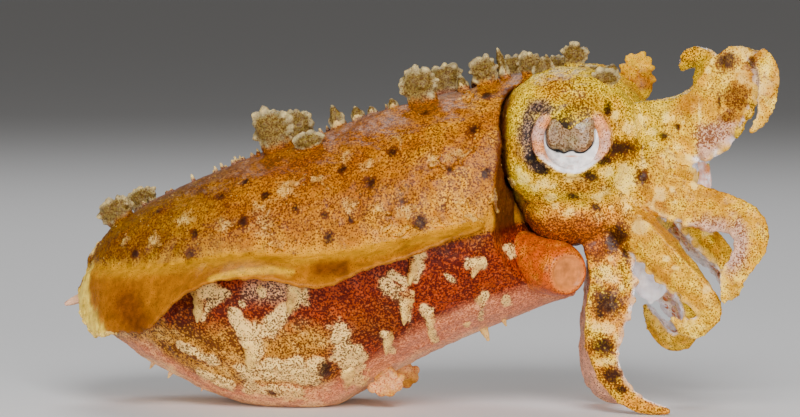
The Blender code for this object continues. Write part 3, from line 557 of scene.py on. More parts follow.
def skin_material(name, dot=0.23, fleck=0.42, roughness=0.36, coat=0.02, sss=0.02, bump=1.0, painted_glow=0.0):
    """Speckled wet skin. Dot and fleck are the spacing of the dark and pale dots in millimetres."""
    made = bpy.data.materials.new(name)
    made.use_nodes = True
    tree = made.node_tree
    shader = tree.nodes["Principled BSDF"]
    place = add(tree, "ShaderNodeTexCoord").outputs["Object"]
    layers = [add(tree, "ShaderNodeAttribute", attribute_name=name) for name in ("tint", "ink", "marks")]
    tint, ink, marks = (layer.outputs["Color"] for layer in layers)
    speckle, pale, dark = add(tree, "ShaderNodeSeparateColor", {"Color": marks}).outputs
    waves = {"Vector": place, "Scale": 1 / (CLOUD_SIZE * MM), "Detail": 5.0}
    cloud = add(tree, "ShaderNodeTexNoise", waves)
    uneven = calc(tree, "SUBTRACT", cloud.outputs["Fac"], 0.5)

    # Pale patches fade out through the cloud. Dark spots have a black core in a soft brown halo.
    pale_mask = soft_step(tree, calc(tree, "MULTIPLY_ADD", uneven, 1.5, pale), 0.18, 0.92)
    halo = soft_step(tree, calc(tree, "MULTIPLY_ADD", uneven, 0.5, dark), 0.05, 0.75)
    core = soft_step(tree, calc(tree, "MULTIPLY_ADD", uneven, 0.8, dark), 0.5, 1.0)

    # The dots grow where the speckle is dense and shrink on the palest skin.
    density = calc(tree, "MULTIPLY_ADD", uneven, 0.5, speckle)
    bare = calc(tree, "MULTIPLY", pale_mask, pale_mask)
    density = calc(tree, "MULTIPLY_ADD", bare, -0.28, density)
    density = calc(tree, "MULTIPLY_ADD", halo, 0.40, density)
    dots = dots_layer(tree, place, dot, calc(tree, "MULTIPLY_ADD", density, 0.52, 0.15))
    flecks = dots_layer(tree, place, fleck or dot, 0.30 if fleck else -1.0, 0.10)

    # Colour, from the tint up.
    shade = mix(tree, 1.0, tint, calc(tree, "MULTIPLY_ADD", uneven, 1.5, 0.95), "MULTIPLY")
    light = mix(tree, 0.03, mix(tree, 1.0, tint, LIGHT_GAIN, "MULTIPLY"), (*CREAM, 1.0))
    flecks = calc(tree, "MULTIPLY", flecks, soft_step(tree, speckle, 0.05, 0.6))
    blotch = mix(tree, calc(tree, "MULTIPLY_ADD", pale, 0.5, 0.12, clamp=True), light, (*CREAM, 1.0))
    shade = mix(tree, calc(tree, "MULTIPLY", pale_mask, 0.92), shade, blotch)
    shade = mix(tree, calc(tree, "MULTIPLY", halo, 0.55), shade, ink)
    shade = mix(tree, calc(tree, "MULTIPLY", dots, 0.90), shade, ink)
    shade = mix(tree, calc(tree, "MULTIPLY", flecks, 0.62), shade, light)
    deep = mix(tree, 1.0, ink, DEEP_GAIN, "MULTIPLY")
    shade = mix(tree, calc(tree, "MULTIPLY", core, 0.86), shade, deep)
    # Painted light: an emission that brightens the flesh where it lies in shade.
    if painted_glow:
        fill(tree, shader, {"Emission Color": shade, "Emission Strength": painted_glow})

    # Fine pebbling, with the pigment sacs just proud of the skin.
    cells = {"Vector": place, "Scale": 1 / (PEBBLE_SIZE * MM)}
    pebble = add(tree, "ShaderNodeTexVoronoi", cells, feature="SMOOTH_F1")
    pores = add(tree, "ShaderNodeTexNoise", {"Vector": place, "Scale": 1 / (PORE_SIZE * MM), "Detail": 3.0})
    height = calc(tree, "MULTIPLY_ADD", pebble.outputs["Distance"], -0.7, pores.outputs["Fac"])
    relief = {"Height": height, "Strength": 0.5 * bump, "Distance": PEBBLE_HEIGHT * MM}
    look = {
        "Base Color": shade,
        "Normal": add(tree, "ShaderNodeBump", relief).outputs["Normal"],
        "Roughness": calc(tree, "MULTIPLY_ADD", uneven, 0.25, roughness),
        "Specular IOR Level": SPECULAR,
        "Coat Weight": coat,
        "Coat Roughness": COAT_ROUGHNESS,
        "Subsurface Weight": sss,
        "Subsurface Radius": SCATTER,
        "Subsurface Scale": SCATTER_DEPTH * MM,
    }
    fill(tree, shader, look)
    return made


# %% [markdown]
# ## The mantle
# The mantle is the bag that holds the body. Seen from the side it rises from the tail to the head, and
# below it sags to the ground. Eleven sections tell its outline: the height of the back, of the fin's root
# and of the belly, and half the width. Each section is a superellipse, which is fuller than an ellipse.
# The front rim leans back at the side and reaches forward under the head like a lip.

# %% The mantle's shape
MANTLE = (
    (-26.8, 17.6, 15.4, 12.6, 1.8),
    (-25.2, 20.2, 16.1, 9.4, 5.2),
    (-21.5, 23.4, 16.3, 6.4, 9.4),
    (-16.5, 26.1, 16.8, 3.6, 12.3),
    (-10.5, 28.6, 17.7, 1.0, 14.5),
    (-4.0, 31.3, 18.6, -0.8, 15.9),
    (3.0, 33.5, 18.6, -0.6, 16.5),
    (10.0, 36.1, 19.5, 3.5, 16.5),
    (17.0, 38.1, 21.0, 7.4, 15.8),
    (23.0, 39.9, 22.4, 10.9, 14.6),
    (27.0, 41.0, 23.4, 13.8, 13.4),
)
SECTION_POWER = 0.92
RIM_START = 0.7
MANTLE_FRONT = MANTLE[-1][0]
RIM_BACK, RIM_SIDE, RIM_BELLY = 3.0, -1.5, 8.0
MANTLE_RINGS, MANTLE_SIDES, TABLE_STEPS = 90, 120, 400


def power(value):
    return math.copysign(abs(value) ** SECTION_POWER, value)


def mantle_point(share, degrees):
    """A point of the mantle's skin. Degrees go round from its left side over the back."""
    x, back, side, belly, half = between(MANTLE, share)
    c, s = math.cos(math.radians(degrees)), math.sin(math.radians(degrees))
    rim = max(0.0, (share - RIM_START) / (1 - RIM_START)) ** 2
    lean = RIM_SIDE + RIM_BACK * max(s, 0) ** 2 + RIM_BELLY * max(-s, 0) ** 3
    reach = back - side if s > 0 else side - belly
    return Vector((x + rim * lean, half * power(c), max(side + reach * power(s), 0.0)))


def mantle_normal(share, degrees):
    along = mantle_point(share + 0.01, degrees) - mantle_point(share - 0.01, degrees)
    round_it = mantle_point(share, degrees + 1) - mantle_point(share, degrees - 1)
    return round_it.cross(along).normalized()


def mantle_place(x, degrees):
    """The point of the skin at a place along the body, and the way that it faces."""
    share = share_at(MANTLE, min(x, MANTLE_FRONT))
    return mantle_point(share, degrees), mantle_normal(share, degrees)


TABLE = np.array(dense(MANTLE, TABLE_STEPS))


def section_at(points):
    """For each point, the mantle's back, side, belly and half width at its place."""
    return [np.interp(points[:, 0], TABLE[:, 0], TABLE[:, i]) for i in (1, 2, 3, 4)]


def height_on_mantle(points):
    """How far each point stands out of the bare mantle, and its height share from belly to back."""
    back, side, belly, half = section_at(points)
    rise = points[:, 2] - side
    up = rise / np.where(rise > 0, back - side, side - belly)
    across = np.abs(points[:, 1]) / half
    rho = (across ** (2 / SECTION_POWER) + np.abs(up) ** (2 / SECTION_POWER)) ** (SECTION_POWER / 2)
    out = (1 - 1 / np.maximum(rho, 0.05)) * np.hypot(points[:, 1], rise)
    return out, up


def flank_y(x, z):
    """Half the mantle's width at a place and height."""
    back, side, belly, half = [float(v[0]) for v in section_at(np.array([[x, 0.0, z]]))]
    up = min(abs(z - side) / (back - side if z > side else side - belly), 1.0)
    return half * max(1 - up ** (2 / SECTION_POWER), 0.0) ** (SECTION_POWER / 2)


print("mantle from", MANTLE[0][0], "to", MANTLE_FRONT, "mm, in", len(MANTLE), "sections")

# %% [markdown]
# ## The fins
# A thin frill runs along each side from just behind the head to the tail. It waves as the animal hovers.
# The table gives its width and how far its edge droops. Each station is a thin strip that leaves the
# mantle sideways and bends down, and the rear of the fin hangs like a loose cloth.

# %% The fins' shape
FIN = (
    (0.00, 1.2, 0.2),
    (0.12, 3.6, 0.8),
    (0.25, 4.6, 2.2),
    (0.36, 5.2, 2.9),
    (0.50, 5.6, 1.6),
    (0.58, 6.1, 3.2),
    (0.64, 6.7, 5.0),
    (0.70, 7.9, 7.0),
    (0.76, 7.9, 7.4),
    (0.82, 7.6, 7.2),
    (0.88, 6.9, 6.7),
    (0.93, 5.6, 5.4),
    (0.97, 4.0, 3.8),
    (1.00, 2.2, 2.0),
)
FIN_STATIONS, FIN_STEPS, FIN_LINE_STEPS, FIN_TAIL_STEPS = 220, 12, 240, 8
FIN_ROOT_THICKNESS, FIN_EDGE_THICKNESS = 1.4, 0.55
FIN_FRONT, FIN_END, FIN_SUNK = 25.2, 1.1, 1.2
FIN_RIPPLE, FIN_RIPPLES = 0.35, 11
DROOP_FOLD = 3.2


def fin_root_line(side):
    front = share_at(MANTLE, FIN_FRONT)
    degrees = 180 if side == RIGHT else 0
    steps = FIN_LINE_STEPS
    points = [mantle_point(front * (1 - i / steps), degrees) for i in range(steps + 1)]
    tail = Vector((MANTLE[0][0] - 0.6, side * FIN_END, MANTLE[0][2]))
    start = points[-1]
    points += [start.lerp(tail, i / FIN_TAIL_STEPS) for i in range(1, FIN_TAIL_STEPS + 1)]
    return measured([tuple(point) for point in points])


def fin_profile(side, line, share):
    """The strip of one station of the fin, from its root to its edge, and the way along the fin."""
    whole = line[-1][0]
    far = share * whole
    root = Vector(on_line(line, far))
    along = Vector(on_line(line, min(far + 0.8, whole))) - Vector(on_line(line, max(far - 0.8, 0)))
    out = Vector((along.y, -along.x, 0)).normalized() * -side
    if out.dot(Vector((0, side, 0))) < -0.2:
        out = -out
    _, width, droop = between(FIN, share_at(FIN, share))
    ripple = FIN_RIPPLE * math.sin(FIN_RIPPLES * share * math.pi) * min(1.0, 4 * share)
    ripple += 0.25 * FIN_RIPPLE * math.sin(5.3 * FIN_RIPPLES * share * math.pi)
    spread = math.sqrt(max(width**2 - droop**2, 0.6**2))
    fold = 1.0 if droop < DROOP_FOLD else 0.8
    profile = []
    for k in range(FIN_STEPS + 1):
        d = k / FIN_STEPS
        reach = spread * d**fold - (FIN_SUNK if k == 0 else 0.0)
        profile.append(root + out * reach + Vector((0, 0, -droop * d**1.5 + ripple * d**2)))
    return profile, along, out


def fin_edge_point(side, share):
    return fin_profile(side, fin_root_line(side), share)[0][-1]


def fin_shape(side):
    """One fin as rings of a thin strip, rooted in the mantle."""
    line = fin_root_line(side)
    rings = []
    for i in range(FIN_STATIONS + 1):
        profile, along, out = fin_profile(side, line, i / FIN_STATIONS)
        upper, lower = [], []
        for k, point in enumerate(profile):
            before, after = profile[max(k - 1, 0)], profile[min(k + 1, FIN_STEPS)]
            face = (after - before).cross(along).normalized()
            if face.dot(Vector((0, 0, 1)) + out) < 0:
                face = -face
            thin = (k / FIN_STEPS) ** 0.7
            half = (FIN_ROOT_THICKNESS + (FIN_EDGE_THICKNESS - FIN_ROOT_THICKNESS) * thin) / 2
            upper.append(point + face * half)
            lower.append(point - face * half)
        rings.append(upper + lower[::-1])
    return loft(rings)


print("the fin is", max(row[1] for row in FIN), "mm wide at its broadest")

# %% [markdown]
# ## The head and the eye bulges
# The head is a blunt ball that carries a large bulge on each side for the eye and a crown in front for
# the arms, with a fold of loose skin under the eye. Overlapping ellipsoids are enough, because the voxel
# remesh melts them together. The same ellipsoids, swelled a little, cut the socket in the mantle out of
# which the head comes.

# %% The head's shape
HEAD_BODY = ((34.0, 0.0, 31.2), (10.0, 11.5, 10.2))
EYE_BULGE = ((33.6, 7.0, 32.9), (8.8, 7.2, 8.9))
ARM_CROWN = ((39.8, 0.0, 28.4), (7.2, 9.4, 9.0))
ARM_WEB = ((44.8, 5.6, 29.6), (4.4, 3.2, 4.6))
JOWL = ((34.2, 5.0, 24.6), (6.4, 5.6, 4.6))
HEAD_GAP = 0.35
EYE_CENTRE = (34.9, 8.2, 33.2)
EYE_RADIUS, EYE_OPENING = 6.1, 4.35
EYE_FLOOR, EYE_OUTSIDE = 10.6, 16.0


def mirrored(point, side):
    return (point[0], side * point[1], point[2])


def head_shapes(swell=0.0):
    shapes = [ball(*HEAD_BODY, swell), ball(*ARM_CROWN, swell)]
    for centre, radii in (EYE_BULGE, ARM_WEB, JOWL):
        shapes += [ball(mirrored(centre, side), radii, swell) for side in SIDES.values()]
    return shapes


print("the eye is", 2 * EYE_RADIUS, "mm wide behind an opening of", 2 * EYE_OPENING, "mm")

# %% Build the mantle's skin
MANTLE_VOXEL, MANTLE_MOST = 0.27, 190000
WHITE_STROKES = (
    (-9.5, 14.6, -7.3, 14.2, 1.0, 1.0), (-8.3, 13.7, -10.0, 11.3, 0.9, 0.3),
    (-6.1, 12.5, -4.0, 9.1, 0.7, 1.2), (0.8, 12.4, -2.4, 10.1, 0.9, 1.2),
    (-3.3, 9.5, -3.9, 5.6, 1.3, 0.6), (2.5, 15.7, 2.5, 13.9, 1.0, 0.9),
    (2.5, 13.9, 1.8, 12.8, 0.7, 0.3), (-5.2, 4.7, 2.9, 4.9, 1.0, 1.7),
    (-5.0, 2.6, 1.1, 2.2, 1.0, 1.0), (7.0, 9.6, 7.4, 7.4, 1.3, 1.6),
    (7.9, 7.4, 7.8, 3.9, 1.5, 1.1), (12.9, 15.8, 14.6, 13.9, 1.0, 1.0),
    (14.6, 13.9, 15.1, 11.3, 0.9, 0.3), (13.6, 17.0, 15.1, 16.1, 0.5, 0.6),
    (16.8, 19.1, 16.3, 16.4, 0.7, 0.4), (22.5, 18.5, 24.1, 18.5, 0.6, 0.6),
    (17.3, 12.6, 17.4, 8.5, 0.6, 0.3), (12.3, 9.5, 12.4, 7.4, 0.6, 0.4),
    (24.0, 14.2, 23.0, 11.2, 0.5, 0.3), (-2.2, 14.9, -2.1, 14.5, 0.5, 0.4),
    (-4.9, 13.4, -4.8, 13.3, 0.4, 0.4), (26.3, 13.9, 26.1, 13.4, 0.4, 0.4),
    (26.8, 20.2, 27.3, 19.2, 0.4, 0.4), (-13.4, 7.9, -9.0, 5.9, 0.5, 0.7),
    (-11.3, 4.4, -7.4, 2.9, 0.5, 0.6), (19.9, 17.0, 20.6, 16.4, 0.3, 0.4),
)


def stroke_mask(points, strokes, ragged, fade=0.35):
    """How strongly each point lies in one of the tapered strokes, seen from the side."""
    x, _, z = points.T
    found = np.zeros(len(points))
    for x1, z1, x2, z2, first, last in strokes:
        run_x, run_z = x2 - x1, z2 - z1
        share = np.clip(((x - x1) * run_x + (z - z1) * run_z) / (run_x**2 + run_z**2), 0, 1)
        wide = first + (last - first) * share
        far = np.hypot(x - x1 - share * run_x, z - z1 - share * run_z) / wide + ragged
        found = np.maximum(found, 1 - step(far, 1 - fade, 1 + fade))
    return found


def mantle_loft():
    rings = []
    for i in range(MANTLE_RINGS):
        share = i / (MANTLE_RINGS - 1)
        turns = [360 * j / MANTLE_SIDES - 90 for j in range(MANTLE_SIDES)]
        rings.append([mantle_point(share, degrees) for degrees in turns])
    return loft(rings)


def build_mantle():
    """The mantle with its socket, the two fins, and the soft unevenness of the skin."""
    obj = as_object([mantle_loft()], "mantle_skin")
    for shape in head_shapes(HEAD_GAP):
        cut(obj, [shape])
    obj = with_pieces(obj, [fin_shape(side) for side in SIDES.values()], "mantle_skin")
    fuse(obj, MANTLE_VOXEL, 3)
    points = points_of(obj.data)
    out, up = height_on_mantle(points)
    on_fin = step(out, 0.3, 0.9)
    lumps = 0.30 * rough(points, 4.0, 3) + 0.16 * rough(points, 1.4, 7)
    grains = 0.07 * rough(points, 0.6, 11)
    white = stroke_mask(points, WHITE_STROKES, 0.3 * rough(points, 1.2, 13)) * (up < 0)
    lumps += white * (0.22 + 0.30 * rough(points, 0.9, 15))
    lumps = (lumps + grains) * (1 - 0.85 * on_fin) * step(points[:, 2], 0.4, 2.0)
    return raise_skin(obj, points, lumps, MANTLE_MOST)


mantle_skin = build_mantle()
print("mantle skin points:", len(mantle_skin.data.vertices))

# %% [markdown]
# ## Markings of the mantle
# The back is mustard with a speckle of brown, small dark spots and creamy blotches. A band of clear amber
# follows the fin. Below it the flank is rusty red with ragged white patches, and the belly is pale
# pink. The marks are listed by their place along the body, their height and their size, in millimetres,
# and the same list serves both flanks.

# %% Paint the mantle
DARK_SPOTS = (
    (13.3, 31.5, 0.55), (10.8, 27.8, 0.6), (1.7, 24.8, 0.5), (8.7, 23.6, 0.4), (14.9, 25.9, 0.4),
    (19.7, 25.2, 0.35), (20.3, 29.5, 0.35), (22.8, 34.1, 0.6), (23.7, 38.3, 0.7), (16.2, 36.2, 0.4),
    (24.8, 29.1, 0.5), (17.0, 23.3, 0.85), (6.0, 21.5, 0.65), (-4.7, 23.1, 0.6), (-2.2, 26.3, 0.5),
    (7.2, 29.4, 0.55), (11.7, 35.3, 0.4), (-5.1, 27.6, 0.4), (5.5, 24.2, 0.4), (-8.1, 25.9, 0.6),
    (-11.0, 21.5, 0.5), (-11.1, 18.8, 0.9), (-3.5, 19.2, 0.45), (-19.0, 18.9, 0.5), (-23.5, 17.2, 0.6),
    (1.8, 19.5, 0.4), (-14.5, 17.7, 0.5), (4.8, 5.2, 0.9), (-2.3, 2.3, 0.5), (-16.5, 23.8, 0.5),
)
BROWN_STROKES = (
    (-13.7, 11.0, -11.7, 9.8, 0.6, 0.9), (-10.5, 9.3, -8.6, 8.1, 0.7, 0.7),
    (-6.3, 9.4, -5.5, 7.5, 0.7, 0.6), (-15.5, 7.8, -13.5, 6.9, 0.6, 0.6),
    (-11.5, 6.7, -9.4, 5.9, 0.5, 0.6), (-7.4, 11.5, -6.4, 11.0, 0.5, 0.5),
)
PALE_BLOTCHES = (
    (-1.9, 23.6, 2.2, 2.6), (10.0, 30.0, 1.3, 0.7), (18.0, 30.8, 0.9, 0.9), (20.8, 31.3, 1.0, 0.8),
    (-16.3, 20.6, 1.0, 0.8), (-0.8, 20.3, 1.4, 0.8), (13.6, 22.2, 1.8, 0.8), (7.2, 30.8, 1.2, 1.0),
    (11.6, 24.7, 1.6, 1.0), (15.5, 24.6, 1.8, 0.9), (21.6, 25.4, 1.4, 1.0), (22.8, 24.0, 1.6, 0.8),
    (19.3, 23.2, 1.8, 0.7), (25.9, 26.3, 1.2, 0.9), (21.0, 38.0, 1.4, 0.6), (13.2, 33.2, 1.2, 1.0),
    (0.8, 27.2, 1.5, 1.3), (-7.0, 22.9, 1.6, 1.0), (8.5, 25.3, 1.2, 0.9), (-12.5, 23.2, 1.6, 0.9),
    (4.0, 28.2, 1.2, 0.9), (-20.5, 20.0, 1.0, 0.8),
)
# A painted highlight along the fin, as three strokes.
FIN_HIGHLIGHT = (
    (-7.5, 16.6, -4.1, 17.4, 0.30, 0.38),
    (-4.1, 17.4, -0.5, 17.7, 0.38, 0.38),
    (-0.5, 17.7, 2.2, 17.5, 0.38, 0.25),
)
FIN_SHADES = (
    (-19.6, 12.8, -17.6, 10.9, 2.2, 2.0),
    (5.5, 17.8, 8.5, 17.9, 0.9, 0.9),
    (-9.8, 12.6, -8.6, 14.0, 0.8, 0.8),
)
DOTTED_PATCH = (-3.0, 14.0, 1.0, 14.2, 2.0, 2.2)
BELLY_LINE = ((-18, 8.5), (-10, 3.5), (4, 3.2), (10, 7.0), (17, 11.2), (21, 13.4), (28, 15.4))
FIN_LOW = ((-28, 7.8), (-14, 7.8), (-8, 10.5), (0, 12.0), (10, 14.0), (20, 17.5), (27, 20.5), (36, 24.0))
LEFT_SHIFT = 1.3


def oval_mask(points, marks, ragged, fade=0.35):
    """How strongly each point lies in one of the oval marks on the flanks."""
    found = np.zeros(len(points))
    for x, z, wide, high in marks:
        y = flank_y(x, z)
        round_it = ((points[:, 0] - x) / wide) ** 2 + ((points[:, 2] - z) / high) ** 2
        far = np.sqrt(round_it + ((np.abs(points[:, 1]) - y) / max(wide, high)) ** 2) + ragged
        found = np.maximum(found, 1 - step(far, 1 - fade, 1 + fade))
    return found


def mantle_colours(points):
    """Tint, ink and marks of the mantle for any points on or near it."""
    out, up = height_on_mantle(points)
    x, y, z = points.T
    side = section_at(points)[1]
    seen = points + np.where(y > 0, LEFT_SHIFT, 0.0)[:, None] * np.array([1.0, 0.0, 0.0])
    broad, middle, small = rough(points, 6.0, 21), rough(points, 2.2, 23), rough(points, 0.9, 25)
    ragged = 0.4 * middle + 0.4 * small

    # The back is golden brown, brighter just above the fin, with a painted mauve sheen along the crest.
    brown = np.clip(0.40 + 0.8 * broad + 0.5 * middle, 0, 0.9) * step(up, 0.08, 0.35)
    tint = blend(MUSTARD, BURNT, brown)
    tint = blend(tint, BACK_GOLD, 0.85 * step(0.30 - up + 0.3 * middle, 0, 0.35))
    tint = blend(tint, BACK_GOLD, 0.7 * step(x + 6 * broad, 8, 22) * step(middle, -0.3, 0.4))
    tint = tint * (1 - np.outer(step(4 * middle - x, 0, 16), (0.36, 0.22, 0.36)))
    # Painted sheen: the crest along the top of the back turns mauve.
    crest = step(up, 0.93, 0.985) * step(-np.abs(y), -3.4, -1.6) * step(x + 3 * middle, -26, -20)
    tint = blend(tint, MAUVE_SHEEN, 0.8 * crest)
    ink = blend(INK_BACK, INK_HEAD, step(broad, 0.1, 0.7))
    speckle = 0.66 + 0.16 * middle + 0.10 * small + 0.16 * broad - 0.22 * step(0.30 - up, 0, 0.25)
    pale = 0.60 * oval_mask(seen, PALE_BLOTCHES, 1.5 * ragged, 0.7)
    pale = np.maximum(pale, 0.38 * small + 0.15 * middle - 0.02) * step(up, 0.02, 0.2)
    spots = [(x0, z0, 1.25 * r, 1.25 * r) for x0, z0, r in DARK_SPOTS]
    dark = oval_mask(seen, spots, 0.6 * small + 0.35 * middle, 0.85)

    # The flank under the fin, rusty red with ragged cream patches, sandy towards the tail.
    low = step(-up, 0.02, 0.10)
    sand = step(9.0 - x + 2 * middle, 0, 6.0) * step(12.0 - z + 1.5 * small, 0, 3.0)
    flank = blend(blend(RUST, BURNT, step(broad, -0.3, 0.5)), SAND, 0.8 * sand)
    dotted = stroke_mask(seen, (DOTTED_PATCH,), 0.25 * small)
    flank = blend(flank, PINK_GROUND, dotted * step(z + 0.6 * small, 12.6, 14.6))
    tint = blend(tint, flank, low)
    ink = blend(ink, blend(INK_FLANK, INK_BACK, 0.6 * sand), low)
    ink = blend(ink, INK_PURPLE, 0.75 * low * dotted * step(z, 12.8, 15.0))
    red = 0.92 + 0.55 * middle + 0.20 * small - 0.36 * sand * step(middle, -0.25, 0.2)
    white = 1.25 * stroke_mask(seen, WHITE_STROKES, 1.7 * ragged)
    speckle = speckle * (1 - low) + low * (red + 0.15 * white * sand)
    blotch = stroke_mask(seen, BROWN_STROKES, 0.5 * small, 0.5) * (1 - 0.8 * white)
    flecks = 0.16 + 0.42 * middle * (1 - dotted) + 0.25 * sand
    pale = np.maximum(pale * (1 - low), low * np.maximum(white, flecks)) * (1 - 0.9 * blotch)
    speckle = speckle + 0.5 * blotch
    belly_line = np.interp(x, *np.array(BELLY_LINE).T)
    tint = blend(tint, WHITE_GROUND, 0.8 * low * np.clip(white, 0, 1))
    under = step(belly_line - z + 0.8 * middle, -0.4, 1.3) * (1 - 0.64 * white)
    lower = step(belly_line - z - 1.6 * step(x, 8, 20), 1.2, 4.2)
    tint = blend(tint, blend(BELLY, BELLY_WHITE, np.clip(lower + 0.3 * middle, 0, 1)), under)
    ink = blend(ink, INK_SOFT, 0.85 * under)
    speckle = speckle * (1 - under) + under * (0.66 - 0.42 * lower)
    dark = dark * (1 - 0.8 * under * (np.abs(x - 4.8) > 1.5) * (np.abs(x + 2.3) > 1.5))

    # The amber fin, with a painted highlight line along it, brown shades and a cream edge at the rear.
    band = step(side + 2.0 + 0.5 * middle - z, 0.0, 1.6) * step(z - side + 0.9, 0, 0.9) * (out < 0.6)
    fin = np.maximum(step(out, 0.30, 0.75) * step(side + 1.7 - z, 0, 0.7), 0.9 * band)
    fin = fin * step(z - np.interp(x, *np.array(FIN_LOW).T), -0.5, 0.5)
    amber = blend(AMBER, GOLD, 0.5 * step(z - side + 0.5 + 0.5 * small, -0.6, 1.2))
    amber = blend(amber, AMBER_DEEP, np.clip(0.9 * stroke_mask(seen, FIN_SHADES, 0.3 * middle, 0.8), 0, 1))
    amber = blend(amber, AMBER_DEEP, 0.5 * step(broad + 0.5 * middle, 0.0, 0.8))
    # Painted highlight: a bright amber line along the fin.
    amber = blend(amber, AMBER_LINE, 0.85 * stroke_mask(points, FIN_HIGHLIGHT, 0.2 * small, 0.7))
    width = np.interp((FIN_FRONT - x) / (FIN_FRONT - MANTLE[0][0]), *np.array(FIN).T[:2])
    edge = step(out - width + 1.5 + 0.5 * small, 0, 1.0) * step(-13 - x + middle, 0, 3)
    edge = np.maximum(edge, step(-25.5 - x + 0.3 * small, 0, 0.5) * step(z, 11.8, 12.8))
    tint = blend(tint, blend(amber, AMBER_EDGE, edge), fin)
    ink = blend(ink, INK_BACK, fin)
    speckle = speckle * (1 - fin) + fin * (0.14 + 0.16 * middle - 0.2 * edge)
    pale, dark = pale * (1 - fin) + 0.45 * edge * fin, dark * (1 - 0.6 * fin)

    # Painted shade, brown, in the groove behind the head.
    rim = step(x, 25.3, 25.8) * step(z, 20.5, 22.5) * (np.abs(y) > 6)
    tint = blend(tint, CREVICE_SHADE, 0.9 * rim)
    return tint, ink, marks_of(np.clip(speckle, 0, 1.3), pale, dark)


paint(mantle_skin.data, *mantle_colours(points_of(mantle_skin.data)))
SKIN = skin_material("speckled skin", dot=0.23)
finish_piece(mantle_skin, SKIN, "skin_back", "mantle", "fin_right", "fin_left")

# %% [markdown]
# ## Papillae
# The animal can raise its skin into soft lumps that look like coral or weed. The largest stand along the
# middle of the back and on the brow, as frilly fans on short stems. Each is built as a sculptor would
# press clay: a stem, a flat body, a ring of lobes and many small knobs, all melted together by a fine
# voxel remesh. Low ridges on the flanks, pointed tongues below the fin, the knobs round the tail and
# a few small spikes under the belly are made the same way.

# %% Papillae
BACK_PAPILLAE = (
    (-22.6, 104, 4.6, 3.0),
    (-20.6, 76, 4.2, 2.6),
    (-2.4, 104, 5.3, 5.0),
    (-1.3, 78, 4.4, 4.2),
    (2.2, 116, 4.0, 1.9),
    (15.4, 104, 4.8, 4.4),
    (17.0, 80, 5.0, 3.8),
    (22.6, 101, 3.6, 3.4),
    (25.0, 80, 3.4, 2.8),
    (27.0, 99, 3.2, 2.5),
)
BACK_SPIKES = (
    (4.6, 95, 1.9, 3.0), (6.6, 88, 1.6, 1.9), (24.3, 97, 1.3, 3.9), (28.9, 94, 1.2, 2.2),
    (11.6, 99, 1.2, 1.4), (19.6, 95, 1.4, 1.7), (20.8, 90, 1.0, 1.0), (8.6, 92, 1.0, 1.2),
)
HEAD_PAPILLAE = (
    ((33.2, 0.6, 41.4), (0.0, 0.0, 1.0), 3.3, 3.0),
    ((30.4, 6.2, 40.6), (0.0, 0.3, 1.0), 2.8, 2.2),
    ((38.3, -8.6, 39.6), (0.05, -0.35, 1.0), 3.6, 2.0),
    ((40.2, 7.8, 38.4), (-0.08, 0.2, 1.0), 4.4, 4.6),
)
HEAD_SPIKES = (
    ((30.6, -6.4, 40.2), (-0.05, -0.25, 1.0), 2.6, 2.9),
    ((36.2, -3.2, 40.6), (0.1, -0.1, 1.0), 1.6, 1.2),
    ((37.4, 3.0, 40.6), (0.2, 0.1, 1.0), 1.6, 1.3),
    ((35.0, -6.0, 41.0), (0.0, -0.3, 1.0), 1.2, 1.0),
)
GOLDEN_PAPILLA = 3
UPRIGHT = Vector((-0.15, 0, 0.5))
CREST_COUNT, CREST_FROM, CREST_TO = 34, -22.0, 25.0
TONGUE_TIPS = (
    (-10.0, 11.3, 3.4, 0.9), (1.8, 12.7, 3.0, 0.8), (16.3, 16.2, 3.2, 0.6), (23.5, 17.0, 2.0, 0.8),
    (15.1, 11.2, 3.8, 0.9), (17.4, 8.4, 4.0, 0.55), (12.4, 7.3, 2.6, 0.55), (23.0, 11.0, 3.2, 0.5),
    (26.2, 13.6, 1.2, 0.5), (6.9, 2.6, 2.6, 0.9), (-3.9, 5.5, 3.0, 0.9), (20.9, 9.4, 1.6, 0.6),
)
EDGE_KNOBS_FROM, EDGE_KNOBS_STEP = 0.78, 0.006
TAIL_RIM = (
    (-24.8, 0.0, 20.2), (-26.2, 0.0, 18.8), (-27.0, 0.0, 17.2),
    (-27.3, 0.0, 15.4), (-26.9, 0.0, 13.8), (-26.2, 0.0, 12.4),
)
TAIL_KNOBS, RIDGES = 22, 3
BELLY_SPIKES = (
    (-18.6, 258, 0.6), (-16.2, 256, 0.6), (-12.0, 254, 0.45), (20.8, 262, 1.1), (22.6, 260, 0.6),
)
PAPILLA_VOXEL = 0.15
dice = np.random.default_rng(8553)


def blob(bm_list, centre, radius, flat=1.0, up=None):
    """A small ball, flattened along its up axis if asked."""
    turn = up.to_track_quat("Z", "X").to_matrix() if up else None
    bm_list.append(ball(centre, (radius, radius, radius * flat), sides=10, rings=7, turn=turn))


def papilla_frame(up):
    """The directions along the body, through the papilla and up it, as a turn."""
    up = Vector(up).normalized()
    along = Vector((1, 0, 0))
    along = (along - up * along.dot(up)).normalized()
    return along, up.cross(along), up


